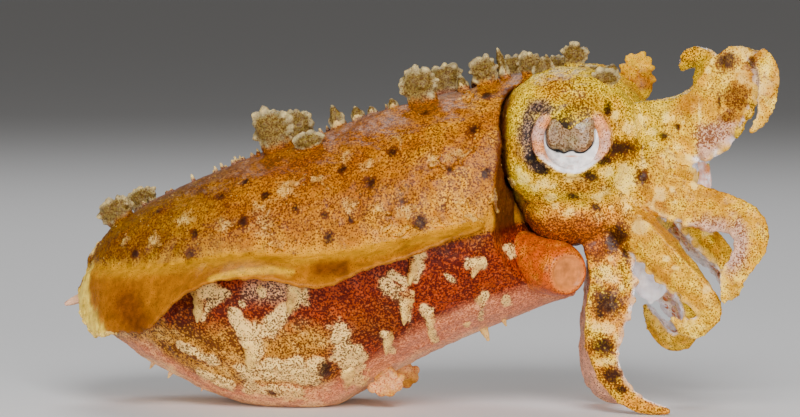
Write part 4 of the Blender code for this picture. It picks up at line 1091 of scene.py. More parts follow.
def floret(foot, up, width, height):
    """A broad papilla with a lobed rim and knobbed faces, like a floret of cauliflower."""
    along, across, up = papilla_frame(up)
    turn = Matrix((along, across, up)).transposed()
    foot = Vector(foot)
    centre = foot + up * height * 0.52
    lobe = 0.26 + 0.045 * width
    half_wide, half_high = width / 2 - lobe, height / 2 - lobe * 0.7
    thick = 0.20 * width + 0.15
    stem = foot + up * height * 0.12, (0.40 * width, thick * 1.1, 0.42 * height)
    body = centre, (half_wide, thick, half_high)
    made = [ball(*shape, turn=turn, sides=20, rings=14) for shape in (body, stem)]
    count = max(7, round(2.5 * width))
    for i in range(count):
        angle = math.radians(-118 + 236 * i / (count - 1)) + dice.normal(0, 0.12)
        reach = dice.uniform(0.86, 1.12)
        aside = along * (math.sin(angle) * half_wide * reach)
        rise = up * (math.cos(angle) * half_high * reach)
        spot = centre + aside + rise + across * dice.normal(0, 0.25 * thick)
        size = lobe * dice.uniform(0.7, 1.4)
        blob(made, spot, size)
        outward = (aside + rise).normalized()
        for _ in range(5):
            lean = (outward + across * dice.normal(0, 0.8) + along * dice.normal(0, 0.5)).normalized()
            blob(made, spot + lean * size * 0.85, dice.uniform(0.15, 0.24))
    for _ in range(int(7 * width)):
        a, b = dice.uniform(-0.85, 0.85), dice.uniform(-0.9, 0.9)
        bulge = math.sqrt(max(1 - a * a - b * b, 0.0))
        face = across * (dice.choice((-1, 1)) * thick * bulge)
        if bulge:
            blob(made, centre + along * a * half_wide + up * b * half_high + face, dice.uniform(0.2, 0.32))
    return made


def spike(foot, up, width, height):
    """A pointed papilla with a pair of shoulders."""
    along, across, up = papilla_frame(up)
    foot = Vector(foot)
    made = []
    levels = max(4, round(height / 0.35))
    for i in range(levels + 1):
        share = i / levels
        size = (width / 2) * (1 - share) ** 0.8 + 0.20
        blob(made, foot + up * (height - 0.2) * share, size)
    for side in (-1, 1):
        shoulder = foot + up * height * dice.uniform(0.3, 0.45) + along * side * width * 0.38
        blob(made, shoulder, 0.22 * width)
        blob(made, shoulder + up * 0.15 * width, 0.15 * width)
    for _ in range(int(5 * height)):
        share, angle = dice.uniform(0, 0.8), dice.uniform(0, math.tau)
        reach = (width / 2) * (1 - share) ** 0.8 + 0.12
        spot = foot + up * height * share + (along * math.cos(angle) + across * math.sin(angle)) * reach
        blob(made, spot, dice.uniform(0.15, 0.22))
    return made


def ridge(x, z, side, count, size):
    """A short crooked ridge of pale skin on the flank."""
    made = []
    heading = dice.uniform(-0.9, 0.9)
    for _ in range(count):
        y = flank_y(x, z)
        blob(made, (x, side * (y - 0.05 * size), z), size * dice.uniform(0.7, 1.2))
        heading += dice.normal(0, 0.6)
        x += size * math.cos(heading)
        z += size * math.sin(heading)
    return made


def tongue(x, z, length, width, side):
    """A cream tongue that grows from the flank, hangs and ends free at the given place."""
    made = []
    steps = 11
    for i in range(steps):
        share = i / (steps - 1)
        high = z + length * (1 - share)
        lift = 0.02 + 0.60 * share**1.6
        wide = 1.2 * width * (1 - share) ** 0.8 + 0.20
        middle = x - 0.35 * share + 0.12 * math.sin(5 * share)
        y = flank_y(x, high) + lift
        made.append(ball((middle, side * y, high), (wide, 0.36, 0.5), sides=12, rings=8))
        for edge in (-1, 1):
            if dice.random() < 0.6:
                blob(made, (middle + edge * wide * 0.9, side * (y - 0.05), high), dice.uniform(0.16, 0.26))
    return made


def fin_edge_knobs(side):
    """The soft knobs along the fin's rear edge."""
    made = []
    share = EDGE_KNOBS_FROM
    while share < 1.0:
        point = fin_edge_point(side, share)
        blob(made, point, dice.uniform(0.22, 0.42))
        share += EDGE_KNOBS_STEP * dice.uniform(0.8, 1.6)
    return made


def on_back(x, degrees, width, height):
    """The foot and the axis of a papilla of the back, and its size."""
    foot, up = mantle_place(x, degrees)
    return foot + Vector((max(x - MANTLE_FRONT, 0.0), 0, 0)), up + UPRIGHT, width, height


def build_papillae():
    made = []
    for maker, table in ((floret, BACK_PAPILLAE), (spike, BACK_SPIKES)):
        for row in table:
            made += maker(*on_back(*row))
    for maker, table in ((floret, HEAD_PAPILLAE), (spike, HEAD_SPIKES)):
        for row in table:
            made += maker(*row)
    for _ in range(CREST_COUNT):
        foot, up = mantle_place(dice.uniform(CREST_FROM, CREST_TO), 90 + dice.normal(0, 6))
        tall = dice.uniform(0.3, 0.9)
        for level in range(3):
            blob(made, foot + up * tall * level / 2, 0.36 - 0.09 * level)
    for side in SIDES.values():
        for x, z, wide, high in PALE_BLOTCHES:
            for _ in range(RIDGES):
                start = x + dice.uniform(-0.5, 0.5) * wide, z + dice.uniform(-0.5, 0.5) * high
                made += ridge(*start, side, int(dice.integers(3, 8)), dice.uniform(0.20, 0.34))
        shift = LEFT_SHIFT if side == LEFT else 0.0
        for x, z, length, width in TONGUE_TIPS:
            made += tongue(x - shift, z, length, width, side)
        made += fin_edge_knobs(side)
    for x, degrees, size in BELLY_SPIKES:
        foot, up = mantle_place(x, degrees)
        for level in range(4):
            blob(made, foot + up * size * (0.5 * level - 0.2), size * (0.62 - 0.13 * level))
    for i in range(TAIL_KNOBS):
        spot = Vector(between(TAIL_RIM, i / (TAIL_KNOBS - 1)))
        blob(made, spot + Vector([dice.normal(0, 0.06) for _ in range(3)]), dice.uniform(0.38, 0.6))
    obj = as_object(made, "papillae")
    fuse(obj, PAPILLA_VOXEL, 1)
    points = points_of(obj.data)
    return raise_skin(obj, points, 0.05 * rough(points, 0.5, 35), MANTLE_MOST)


papillae = build_papillae()
print("papillae points:", len(papillae.data.vertices))

# %% Paint the papillae


def papilla_marks(points):
    """How far each point is from the middle of its papilla, how high on it, and whether that is golden."""
    rim, rise = np.zeros(len(points)), np.full(len(points), -1.0)
    golden = np.zeros(len(points))
    rows = [(*row, False) for row in HEAD_SPIKES]
    rows += [(*row, i == GOLDEN_PAPILLA) for i, row in enumerate(HEAD_PAPILLAE)]
    rows += [(*on_back(*row), False) for row in BACK_PAPILLAE + BACK_SPIKES]
    for foot, up, width, height, gold in rows:
        along, across, up = (np.array(v) for v in papilla_frame(up))
        away = points - np.array(foot)
        high = away @ up / height
        flat = (away @ along) / (width / 2)
        deep = (away @ across) / (width / 2)
        near = (high > -0.3) & (high < 1.3) & (np.abs(flat) < 1.25) & (np.abs(deep) < 0.9)
        far = np.hypot(flat, (high - 0.52) * 2)
        better = near & ((rise < 0) | (far < rim))
        rim[better], rise[better], golden[better] = far[better], high[better], float(gold)
    return rim, rise, golden


def papilla_colours(points):
    """The mantle's own colours at the foot, olive on the body and pale at the rim."""
    tint, ink, marks = mantle_colours(points)
    rim, rise, golden = papilla_marks(points)
    out, up = height_on_mantle(points)
    small = rough(points, 0.6, 33)
    on_head = step(points[:, 0], 28.5, 29.5)
    tint = blend(tint, OLIVE, on_head)
    body = step(rise + 0.15 * small, 0.0, 0.26)
    pale = np.maximum(step(rim + 0.25 * small, 0.62, 1.05), step(rise, 0.8, 1.0)) * body
    floret_tint = blend(OLIVE_DEEP, PAPILLA, np.clip(pale, 0, 1))
    floret_tint = blend(floret_tint, CREAM, 0.25 * step(pale + 0.3 * small, 0.8, 1.2))
    tint = blend(tint, floret_tint, body)
    gold = blend(AMBER, AMBER_LINE, step(rise + 0.4 * small, 0.1, 0.7))
    tint = blend(tint, gold, golden * step(rise, -0.2, 0.1))
    ink = blend(ink, INK_HEAD, body)
    loose = (rise < 0) & (out > 0.1)
    raised = step(out + 0.2 * small, 0.10, 0.75) * loose
    high = step(up, 0.9, 0.97)
    tint = blend(tint, blend(CREAM, AMBER_LINE, 0.35 * (1 - high)), 0.7 * raised)
    speckle = marks[:, 0] * (1 - np.maximum(body, raised)) + body * (0.62 - 0.55 * pale) + 0.15 * raised
    speckle = speckle * (1 - 0.5 * golden)
    pale_mark = marks[:, 1] * (1 - body) * (1 - raised) + 0.30 * raised + 0.25 * pale * (1 - golden)
    return tint, ink, marks_of(speckle, pale_mark)


paint(papillae.data, *papilla_colours(points_of(papillae.data)))
PAPILLA_SKIN = skin_material("papilla skin", dot=0.2, fleck=0.3, roughness=0.45, coat=0.03, sss=0.12)
finish_piece(papillae, PAPILLA_SKIN, "skin_back")

# %% [markdown]
# ## The arms
# Eight arms ring the mouth. The lowest pair are stout and carry the animal like legs, and the others curl
# up or hang. Each arm is a loft along a curve, with a keel on the outside and a thin frilled membrane on
# each side of the sucker face. The points are the same as those of the solids.

# %% The arms' shape
CLOCKWISE, ANTICLOCKWISE = 1, -1
ARMS = {
    "arm_1_right": (CLOCKWISE, (
        (40.3, -3.5, 32.6, 3.6, 2.3, 15), (43.7, -4.5, 33.2, 3.7, 2.3, 15),
        (47.4, -5.6, 33.5, 3.7, 2.2, 15), (50.3, -6.8, 34.5, 3.8, 2.1, 12),
        (52.5, -7.8, 36.4, 3.7, 2.0, 8), (53.8, -8.7, 38.8, 3.6, 1.8, 5), (55.2, -9.6, 41.4, 3.5, 1.4, 0),
        (55.9, -10.2, 43.9, 2.3, 0.8, 0),
    )),
    "arm_2_right": (CLOCKWISE, (
        (40.6, -5.8, 28.4, 2.7, 2.0, 30), (43.6, -6.8, 27.5, 2.6, 2.1, 30),
        (46.8, -7.8, 26.0, 2.4, 2.0, 25), (50.0, -8.6, 24.7, 2.2, 1.9, 15),
        (53.0, -9.6, 24.1, 2.1, 1.8, 10), (55.2, -10.5, 23.1, 1.95, 1.6, 8),
        (55.9, -11.3, 21.1, 1.85, 1.4, 5), (55.0, -12.0, 18.9, 1.6, 1.1, 5),
        (53.9, -12.4, 17.1, 1.3, 0.9, 5), (53.3, -12.6, 15.4, 1.0, 0.7, 5),
        (52.8, -12.7, 13.8, 0.4, 0.35, 5),
    )),
    "arm_3_right": (CLOCKWISE, (
        (38.8, -6.4, 25.6, 2.2, 2.4, 60), (41.6, -7.9, 23.1, 2.2, 2.4, 60),
        (44.9, -8.9, 20.2, 2.1, 2.3, 60), (47.5, -9.6, 17.5, 1.8, 2.1, 55),
        (49.8, -9.9, 15.2, 1.5, 1.7, 45), (51.2, -9.9, 12.8, 1.2, 1.35, 25),
        (49.7, -9.5, 10.8, 1.0, 1.1, 15), (47.8, -9.1, 10.8, 0.9, 0.9, 15),
        (46.3, -8.8, 11.9, 0.3, 0.35, 15),
    )),
    "arm_4_right": (ANTICLOCKWISE, (
        (37.0, -4.8, 24.6, 2.2, 2.3, 40), (37.8, -6.0, 20.6, 2.3, 2.4, 40),
        (38.9, -7.0, 16.6, 2.4, 2.4, 40), (38.6, -7.7, 12.8, 2.35, 2.3, 35),
        (38.0, -8.0, 9.6, 2.0, 2.0, 30), (38.3, -8.0, 6.6, 1.5, 1.6, 25), (39.6, -8.0, 3.7, 1.2, 1.3, 20),
        (41.8, -8.0, 1.7, 1.05, 1.1, 15), (44.2, -8.0, 0.85, 0.8, 0.9, 10),
        (46.2, -8.0, 0.5, 0.4, 0.5, 10),
    )),
    "arm_1_left": (CLOCKWISE, (
        (40.3, 3.5, 33.0, 3.2, 2.2, 15), (43.3, 4.9, 33.9, 3.0, 2.1, 15), (46.6, 6.6, 35.2, 2.7, 2.0, 15),
        (48.9, 8.4, 37.4, 2.4, 1.8, 10), (49.2, 10.2, 39.8, 2.2, 1.5, 5), (48.3, 11.8, 41.9, 1.9, 1.2, 0),
        (46.6, 12.8, 42.7, 1.5, 0.9, 0), (45.2, 13.3, 41.8, 0.9, 0.6, 0),
        (44.8, 13.5, 40.7, 0.3, 0.35, 0),
    )),
    "arm_2_left": (CLOCKWISE, (
        (40.4, 5.6, 28.4, 2.5, 2.0, 35), (42.8, 6.9, 25.8, 2.5, 2.0, 35), (45.2, 8.1, 22.8, 2.3, 1.9, 35),
        (47.4, 9.4, 20.0, 2.0, 1.8, 30), (49.5, 10.6, 17.9, 1.8, 1.6, 25),
        (50.9, 11.3, 15.8, 1.6, 1.3, 20), (51.0, 11.5, 13.9, 1.3, 1.0, 15),
        (50.3, 11.4, 12.4, 0.4, 0.4, 15),
    )),
    "arm_3_left": (CLOCKWISE, (
        (38.6, 5.4, 25.0, 2.2, 2.4, 55), (40.4, 6.7, 21.5, 2.2, 2.4, 55), (42.1, 7.4, 17.8, 2.0, 2.3, 50),
        (44.0, 7.9, 14.4, 1.8, 2.1, 45), (45.8, 8.3, 11.6, 1.6, 2.0, 30), (46.2, 8.7, 9.3, 1.5, 1.8, 15),
        (44.8, 8.9, 7.9, 1.3, 1.5, 10), (43.1, 9.0, 8.8, 1.2, 1.2, 10), (41.8, 9.0, 10.5, 0.9, 0.8, 10),
        (40.8, 9.0, 12.2, 0.3, 0.35, 10),
    )),
    "arm_4_left": (ANTICLOCKWISE, (
        (36.4, 4.3, 24.2, 2.2, 2.3, 40), (36.3, 4.9, 20.5, 2.3, 2.4, 40), (36.2, 5.3, 16.6, 2.3, 2.3, 40),
        (35.7, 5.7, 12.4, 2.2, 2.2, 35), (35.2, 6.0, 8.6, 2.0, 2.0, 30), (35.1, 6.0, 5.6, 1.8, 1.8, 25),
        (35.7, 5.8, 2.9, 1.55, 1.6, 20), (37.1, 5.6, 1.5, 1.25, 1.3, 15), (39.0, 5.4, 0.85, 0.9, 0.9, 10),
        (40.4, 5.3, 0.55, 0.4, 0.45, 10),
    )),
}
CURLED_END = (
    (56.4, -10.8, 43.3, 1.2, 0.9, 0), (57.6, -11.4, 42.0, 1.3, 0.9, 0), (58.0, -12.0, 40.2, 1.3, 0.8, 0),
    (57.8, -12.4, 38.2, 1.1, 0.7, 0), (57.6, -12.5, 36.4, 0.8, 0.5, 0), (56.9, -12.4, 35.0, 0.5, 0.4, 0),
    (55.9, -12.2, 34.2, 0.3, 0.35, 0),
)
ARM_SECTION = ((0.10, -1.25), (0.42, -0.80), (0.86, -0.30), (1.00, 0.25), (1.14, 0.86), (0.70, 0.68))
ARM_SECTION_MIDDLE = 0.60
MEMBRANE = 4
ARM_STEP, SECTION_STEPS = 0.45, 4
FRILL_SIZE, FRILL_LENGTH = 0.30, 1.9


def arm_frame(line, far, curl, side):
    """The arm's middle, the way that its suckers face, the way across it, and its half depth and width."""
    row = on_line(line, far)
    length = line[-1][0]
    ahead, behind = on_line(line, min(far + 0.6, length)), on_line(line, max(far - 0.6, 0.0))
    along = (Vector(ahead[:3]) - Vector(behind[:3])).normalized()
    across = Vector((0, 1, 0))
    across = (across - along * across.dot(along)).normalized()
    oral = across.cross(along) * curl
    midline = across * -side
    turn = math.radians(row[5])
    return (
        Vector(row[:3]),
        oral * math.cos(turn) + midline * math.sin(turn),
        midline * math.cos(turn) - oral * math.sin(turn),
        row[3],
        row[4],
    )


def section_points(frill):
    """The arm's section as a smooth closed outline, with the membrane pushed out by the frill."""
    half = [(w + (frill if i == MEMBRANE else 0), d) for i, (w, d) in enumerate(ARM_SECTION)]
    section = half + [(0.0, ARM_SECTION_MIDDLE)] + [(-w, d) for w, d in reversed(half)]
    count = len(section)
    found = []
    for i in range(count):
        near = [section[(i + k) % count] for k in (-1, 0, 1, 2)]
        for j in range(SECTION_STEPS):
            found.append([catmull(*four, j / SECTION_STEPS) for four in zip(*near)])
    return found


def each_arm():
    """Each arm's curl, rows and side."""
    for name, (curl, rows) in ARMS.items():
        yield curl, rows, SIDES[name.split("_")[2]]


def arm_shape(rows, curl, side, phase):
    line = arm_line(rows)
    whole = line[-1][0]
    steps = round(whole / ARM_STEP)
    rings = []
    for i in range(steps + 1):
        far = whole * i / steps
        middle, oral, across, depth, width = arm_frame(line, far, curl, side)
        frill = FRILL_SIZE * math.sin(math.tau * far / FRILL_LENGTH + phase) * step(far, 5.0, 9.0)
        ring = [middle + across * (w * width) + oral * (d * depth) for w, d in section_points(frill)]
        rings.append([Vector((p.x, p.y, max(p.z, 0.0))) for p in ring])
    return loft(rings)


def edge_knobs(rows, curl, side):
    """Small soft teeth along the membranes and the keel, as frilly arm skin has."""
    line = arm_line(rows)
    whole = line[-1][0]
    made = []
    far = 0.4 * whole
    while far < whole - 0.6:
        middle, oral, across, depth, width = arm_frame(line, far, curl, side)
        for w, d in ((1.16, 0.8), (-1.16, 0.8), (0.0, -1.24)):
            if dice.random() < 0.75:
                spot = middle + across * (w * width) + oral * (d * depth)
                if spot.z > 1.0:
                    blob(made, spot, dice.uniform(0.18, 0.32))
        far += dice.uniform(0.5, 0.9)
    return made


print("arms:", ", ".join(f"{name} {arm_line(rows)[-1][0]:.0f} mm" for name, (_, rows) in ARMS.items()))

# %% [markdown]
# ## The eye opening and its lids
# The eye looks out of a round opening in the bulge. The lower rim is a thin smooth ring. The upper lid is
# a curtain of speckled skin that hangs lower in the middle, which gives the pupil its W shape. The head
# is fused once, the round openings are cut, then the lids are set in and all is fused again, so that
# every edge comes out rounded.

# %% The lids' shape
RING_STEPS, RING_SIDES = 90, 16
RING = (
    (-90, 3.95, 0.50, 0.10),
    (-50, 4.00, 0.56, 0.12),
    (-15, 3.95, 0.80, 0.10),
    (20, 3.85, 0.92, 0.05),
    (48, 4.00, 0.80, 0.00),
    (70, 4.15, 0.50, -0.30),
    (90, 4.20, 0.40, -0.45),
    (110, 4.15, 0.50, -0.30),
    (135, 4.05, 0.72, 0.00),
    (160, 4.05, 0.80, 0.05),
    (195, 4.05, 0.78, 0.10),
    (230, 4.05, 0.56, 0.12),
    (270, 3.95, 0.50, 0.10),
)
CURTAIN_RADIUS, CURTAIN_THICKNESS = 6.5, 0.55
CURTAIN_HIGH, CURTAIN_LOBE, CURTAIN_LOBE_WIDTH = 2.6, 1.5, 1.25
CURTAIN_OUT, CURTAIN_HALF = 4.9, 3.9


def eye_barrel(side, radius):
    bm = bmesh.new()
    place = Matrix.Translation((EYE_CENTRE[0], side * (EYE_FLOOR + EYE_OUTSIDE) / 2, EYE_CENTRE[2]))
    bmesh.ops.create_cone(
        bm,
        cap_ends=True,
        segments=64,
        radius1=radius,
        radius2=radius,
        depth=EYE_OUTSIDE - EYE_FLOOR,
        matrix=place @ Matrix.Rotation(math.radians(90), 4, "X"),
    )
    return bm


def lid_ring(side):
    """The fleshy rim of the opening, broad at the sides and thin below, which follows the bulge."""
    (cx, cy, cz), (rx, ry, rz) = EYE_BULGE
    bm = bmesh.new()
    made = []
    for i in range(RING_STEPS):
        degrees = -90 + 360 * i / RING_STEPS
        _, reach, thick, rise = between(RING, share_at(RING, degrees))
        a = math.radians(degrees)
        out = Vector((math.cos(a), 0, math.sin(a)))
        middle = Vector((EYE_CENTRE[0], 0, EYE_CENTRE[2])) + out * reach
        across = 1 - ((middle.x - cx) / rx) ** 2 - ((middle.z - cz) / rz) ** 2
        middle.y = side * (cy + ry * math.sqrt(max(across, 0.0)) + rise)
        ways = [out * math.cos(b) + Vector((0, 1, 0)) * math.sin(b) for b in round_turn(RING_SIDES)]
        made.append([bm.verts.new(middle + way * thick) for way in ways])
    bridge(bm, made + made[:1])
    return bm


def on_eye(u, v, radius, side):
    """A point of a ball round the eye's middle, by its place across and up."""
    deep = math.sqrt(max(radius**2 - u * u - v * v, 0.0))
    return Vector((EYE_CENTRE[0] + u, side * (EYE_CENTRE[1] + deep), EYE_CENTRE[2] + v))


def lid_curtain(side):
    """The upper lid, a curved sheet with a lobe in the middle."""
    rings = []
    steps = 30
    for i in range(steps + 1):
        u = CURTAIN_HALF * (2 * i / steps - 1)
        low = CURTAIN_HIGH - CURTAIN_LOBE * math.exp(-(((u + 0.2) / CURTAIN_LOBE_WIDTH) ** 2))
        high = math.sqrt(CURTAIN_OUT**2 - u * u)
        ring = []
        for k in range(9):
            ring.append(on_eye(u, low + (high - low) * k / 8, CURTAIN_RADIUS, side))
        for k in range(9):
            ring.append(on_eye(u, high + (low - high) * k / 8, CURTAIN_RADIUS - CURTAIN_THICKNESS, side))
        rings.append(ring)
    return loft(rings)


# %% Build the skin of the head and arms
HEAD_VOXEL, HEAD_MOST = 0.215, 196000
FIRST_VOXEL = 0.25
MOUTH_HOLLOW = ((49.6, 0.0, 27.8), (4.6, 3.6, 4.2))


def build_head():
    shapes = head_shapes()
    for i, (curl, rows, side) in enumerate(each_arm()):
        shapes.append(arm_shape(rows, curl, side, 0.8 * i))
        shapes += edge_knobs(rows, curl, side)
    shapes.append(arm_shape(CURLED_END, CLOCKWISE, RIGHT, 0.0))
    shapes += edge_knobs(CURLED_END, CLOCKWISE, RIGHT)
    obj = as_object(shapes, "head_skin")
    fuse(obj, FIRST_VOXEL, 4)
    for side in SIDES.values():
        cut(obj, [eye_barrel(side, EYE_OPENING)], "MANIFOLD")
    cut(obj, [ball(*MOUTH_HOLLOW)])
    lids = [shape(side) for side in SIDES.values() for shape in (lid_ring, lid_curtain)]
    obj = with_pieces(obj, lids, "head_skin")
    fuse(obj, HEAD_VOXEL, 2)
    points = points_of(obj.data)
    lumps = 0.26 * rough(points, 2.6, 41) + 0.16 * rough(points, 1.0, 43) + 0.07 * rough(points, 0.5, 47)
    near_eye = np.hypot(points[:, 0] - EYE_CENTRE[0], points[:, 2] - EYE_CENTRE[2])
    calm = step(near_eye, 4.6, 6.2) + (np.abs(points[:, 1]) < 9)
    lumps *= np.clip(calm, 0.12, 1) * step(points[:, 2], 0.3, 1.5)
    return raise_skin(obj, points, lumps, HEAD_MOST)


head_skin = build_head()
print("head skin points:", len(head_skin.data.vertices))

# %% [markdown]
# ## Markings of the head and arms
# To colour an arm, each point of the skin has to know which arm it is on, how far along, and whether it is
# on the outside or the sucker face. A kd-tree finds the nearest sample of the arms' centre lines, and
# the frame stored with that sample tells the rest. The marks on the head are listed as on the mantle.

# %% Paint the head and arms
HEAD_WHITE = (
    (31.4, 28.0, 1.0, 0.8), (32.8, 27.6, 0.7, 0.5), (34.7, 28.6, 0.8, 0.7), (30.3, 27.4, 0.7, 0.6),
    (32.0, 26.2, 0.9, 0.6), (29.1, 28.5, 0.8, 0.7), (27.0, 27.8, 0.6, 0.6), (28.2, 29.3, 0.6, 0.5),
    (39.0, 29.3, 0.9, 0.8), (40.6, 27.9, 1.3, 1.2), (38.5, 27.0, 0.7, 0.6), (40.9, 24.8, 1.2, 1.2),
    (37.6, 26.0, 0.8, 0.7), (35.9, 28.4, 0.7, 0.5), (34.0, 24.3, 1.0, 0.6), (37.6, 23.4, 1.0, 0.9),
    (39.0, 24.8, 0.6, 0.6), (40.9, 29.8, 0.8, 0.8), (41.6, 34.8, 1.5, 1.2), (35.9, 23.6, 0.6, 0.5),
    (32.5, 25.2, 0.7, 0.5), (39.7, 36.0, 0.6, 0.6), (42.7, 22.9, 1.0, 0.9), (45.1, 26.5, 0.8, 0.7),
    (42.9, 29.9, 0.6, 0.6), (46.4, 27.1, 0.4, 0.4), (46.7, 25.6, 0.4, 0.4), (48.5, 29.5, 0.5, 0.5),
    (49.1, 28.0, 0.4, 0.9), (43.9, 25.3, 0.6, 0.6), (48.5, 21.1, 0.6, 0.7), (54.9, 40.2, 0.6, 0.9),
    (43.4, 33.9, 0.7, 0.5), (45.4, 35.6, 0.5, 0.5), (46.3, 35.7, 0.4, 0.4), (49.6, 36.3, 0.3, 1.5),
    (50.7, 41.4, 0.6, 0.6), (53.7, 43.5, 1.5, 0.4), (46.9, 32.1, 0.5, 0.4), (48.2, 30.9, 0.5, 0.4),
    (45.4, 31.2, 0.6, 0.4), (57.3, 39.6, 0.6, 1.2), (43.9, 32.4, 0.5, 0.4), (47.5, 35.1, 0.4, 0.3),
    (38.4, 17.1, 1.0, 0.9), (39.2, 16.3, 0.6, 0.5), (40.4, 15.3, 0.4, 0.6), (37.8, 10.5, 1.4, 0.9),
    (36.1, 11.2, 0.4, 0.4), (39.7, 9.4, 0.3, 0.6), (38.6, 6.5, 1.2, 0.6), (38.9, 18.9, 0.3, 0.4),
    (36.5, 13.6, 0.3, 0.4), (47.1, 17.9, 0.5, 0.4), (50.8, 15.4, 0.6, 0.6), (45.9, 19.0, 0.5, 0.4),
)
HEAD_DARK = (
    (37.0, 28.8, 0.8, 0.7), (37.3, 25.0, 0.6, 0.5), (34.9, 26.4, 0.9, 0.4), (40.4, 32.1, 1.9, 0.9),
    (38.6, 30.8, 1.2, 0.6), (33.9, 34.8, 1.6, 0.8), (31.3, 29.4, 1.2, 0.6), (39.0, 36.9, 0.4, 0.9),
    (40.0, 21.7, 1.2, 1.4), (30.3, 30.9, 0.8, 0.8), (52.9, 42.5, 1.4, 1.2), (56.1, 42.4, 0.7, 0.8),
    (52.1, 38.0, 0.3, 1.2), (46.8, 34.6, 0.5, 0.5), (45.3, 33.5, 0.7, 0.4), (42.8, 28.6, 0.7, 0.9),
    (39.2, 21.0, 1.0, 1.5), (40.7, 19.5, 0.6, 1.2), (38.6, 13.6, 1.9, 1.6), (37.9, 12.1, 0.6, 0.6),
    (38.2, 8.3, 1.6, 1.1), (39.3, 4.8, 1.4, 1.2), (40.3, 3.1, 0.8, 0.5),
)
HEAD_CLOUDS = (
    (33.2, 39.4, 2.4, 1.6), (35.9, 37.9, 1.6, 1.8), (40.0, 31.8, 3.0, 1.4), (36.2, 27.6, 3.0, 0.8),
    (42.9, 28.2, 0.9, 1.8), (40.7, 31.8, 1.8, 0.8), (45.4, 30.0, 2.0, 1.4), (50.8, 38.4, 1.2, 2.2),
)
HEAD_PURPLE = (
    (29.7, 34.2, 1.2, 2.6), (31.0, 36.9, 1.6, 0.8),
    (29.9, 31.8, 1.1, 1.3), (30.9, 30.0, 1.2, 0.6),
)
ARM_PATCH = ((54.3, 38.3, 1.7, 1.6), (53.2, 35.9, 1.1, 0.8))
ARM_PLUM = ((51.5, 33.7, 2.2, 1.5), (50.0, 31.9, 1.0, 1.3), (53.0, 35.4, 1.0, 1.0))
ARM_LILAC = ((51.0, 21.6, 3.0, 2.2), (54.2, 20.6, 1.6, 3.0))
ARM_BROWN = ((52.4, 20.4, 2.0, 0.5), (49.2, 22.4, 1.2, 0.5))
ARM_SAMPLES, END_SAMPLES = 120, 60


def flat_mask(points, marks, ragged, fade=0.5):
    """How strongly each point lies in one of the oval marks, as seen from the side."""
    found = np.zeros(len(points))
    for x, z, wide, high in marks:
        far = np.sqrt(((points[:, 0] - x) / wide) ** 2 + ((points[:, 2] - z) / high) ** 2) + ragged
        found = np.maximum(found, 1 - step(far, 1 - fade, 1 + fade))
    return found


def arm_places(points):
    """For each point: the arm's number, the share along it, the place towards the suckers and across."""
    samples = []
    for number, (curl, rows, side) in enumerate(each_arm()):
        line = arm_line(rows)
        whole = line[-1][0]
        for i in range(ARM_SAMPLES + 1):
            samples.append((number, i / ARM_SAMPLES, *arm_frame(line, whole * i / ARM_SAMPLES, curl, side)))
    line = arm_line(CURLED_END)
    for i in range(END_SAMPLES + 1):
        here = arm_frame(line, line[-1][0] * i / END_SAMPLES, CLOCKWISE, RIGHT)
        samples.append((0, 0.85 + 0.15 * i / END_SAMPLES, *here))
    tree = kdtree.KDTree(len(samples))
    for i, sample in enumerate(samples):
        tree.insert(sample[2], i)
    tree.balance()
    found = np.empty((len(points), 5))
    for i, point in enumerate(points):
        _, index, far = tree.find(point)
        number, share, middle, oral, across, depth, width = samples[index]
        off = Vector(point) - middle
        found[i] = (number, share, off.dot(oral) / depth, off.dot(across) / width, far / max(depth, width))
    return found.T


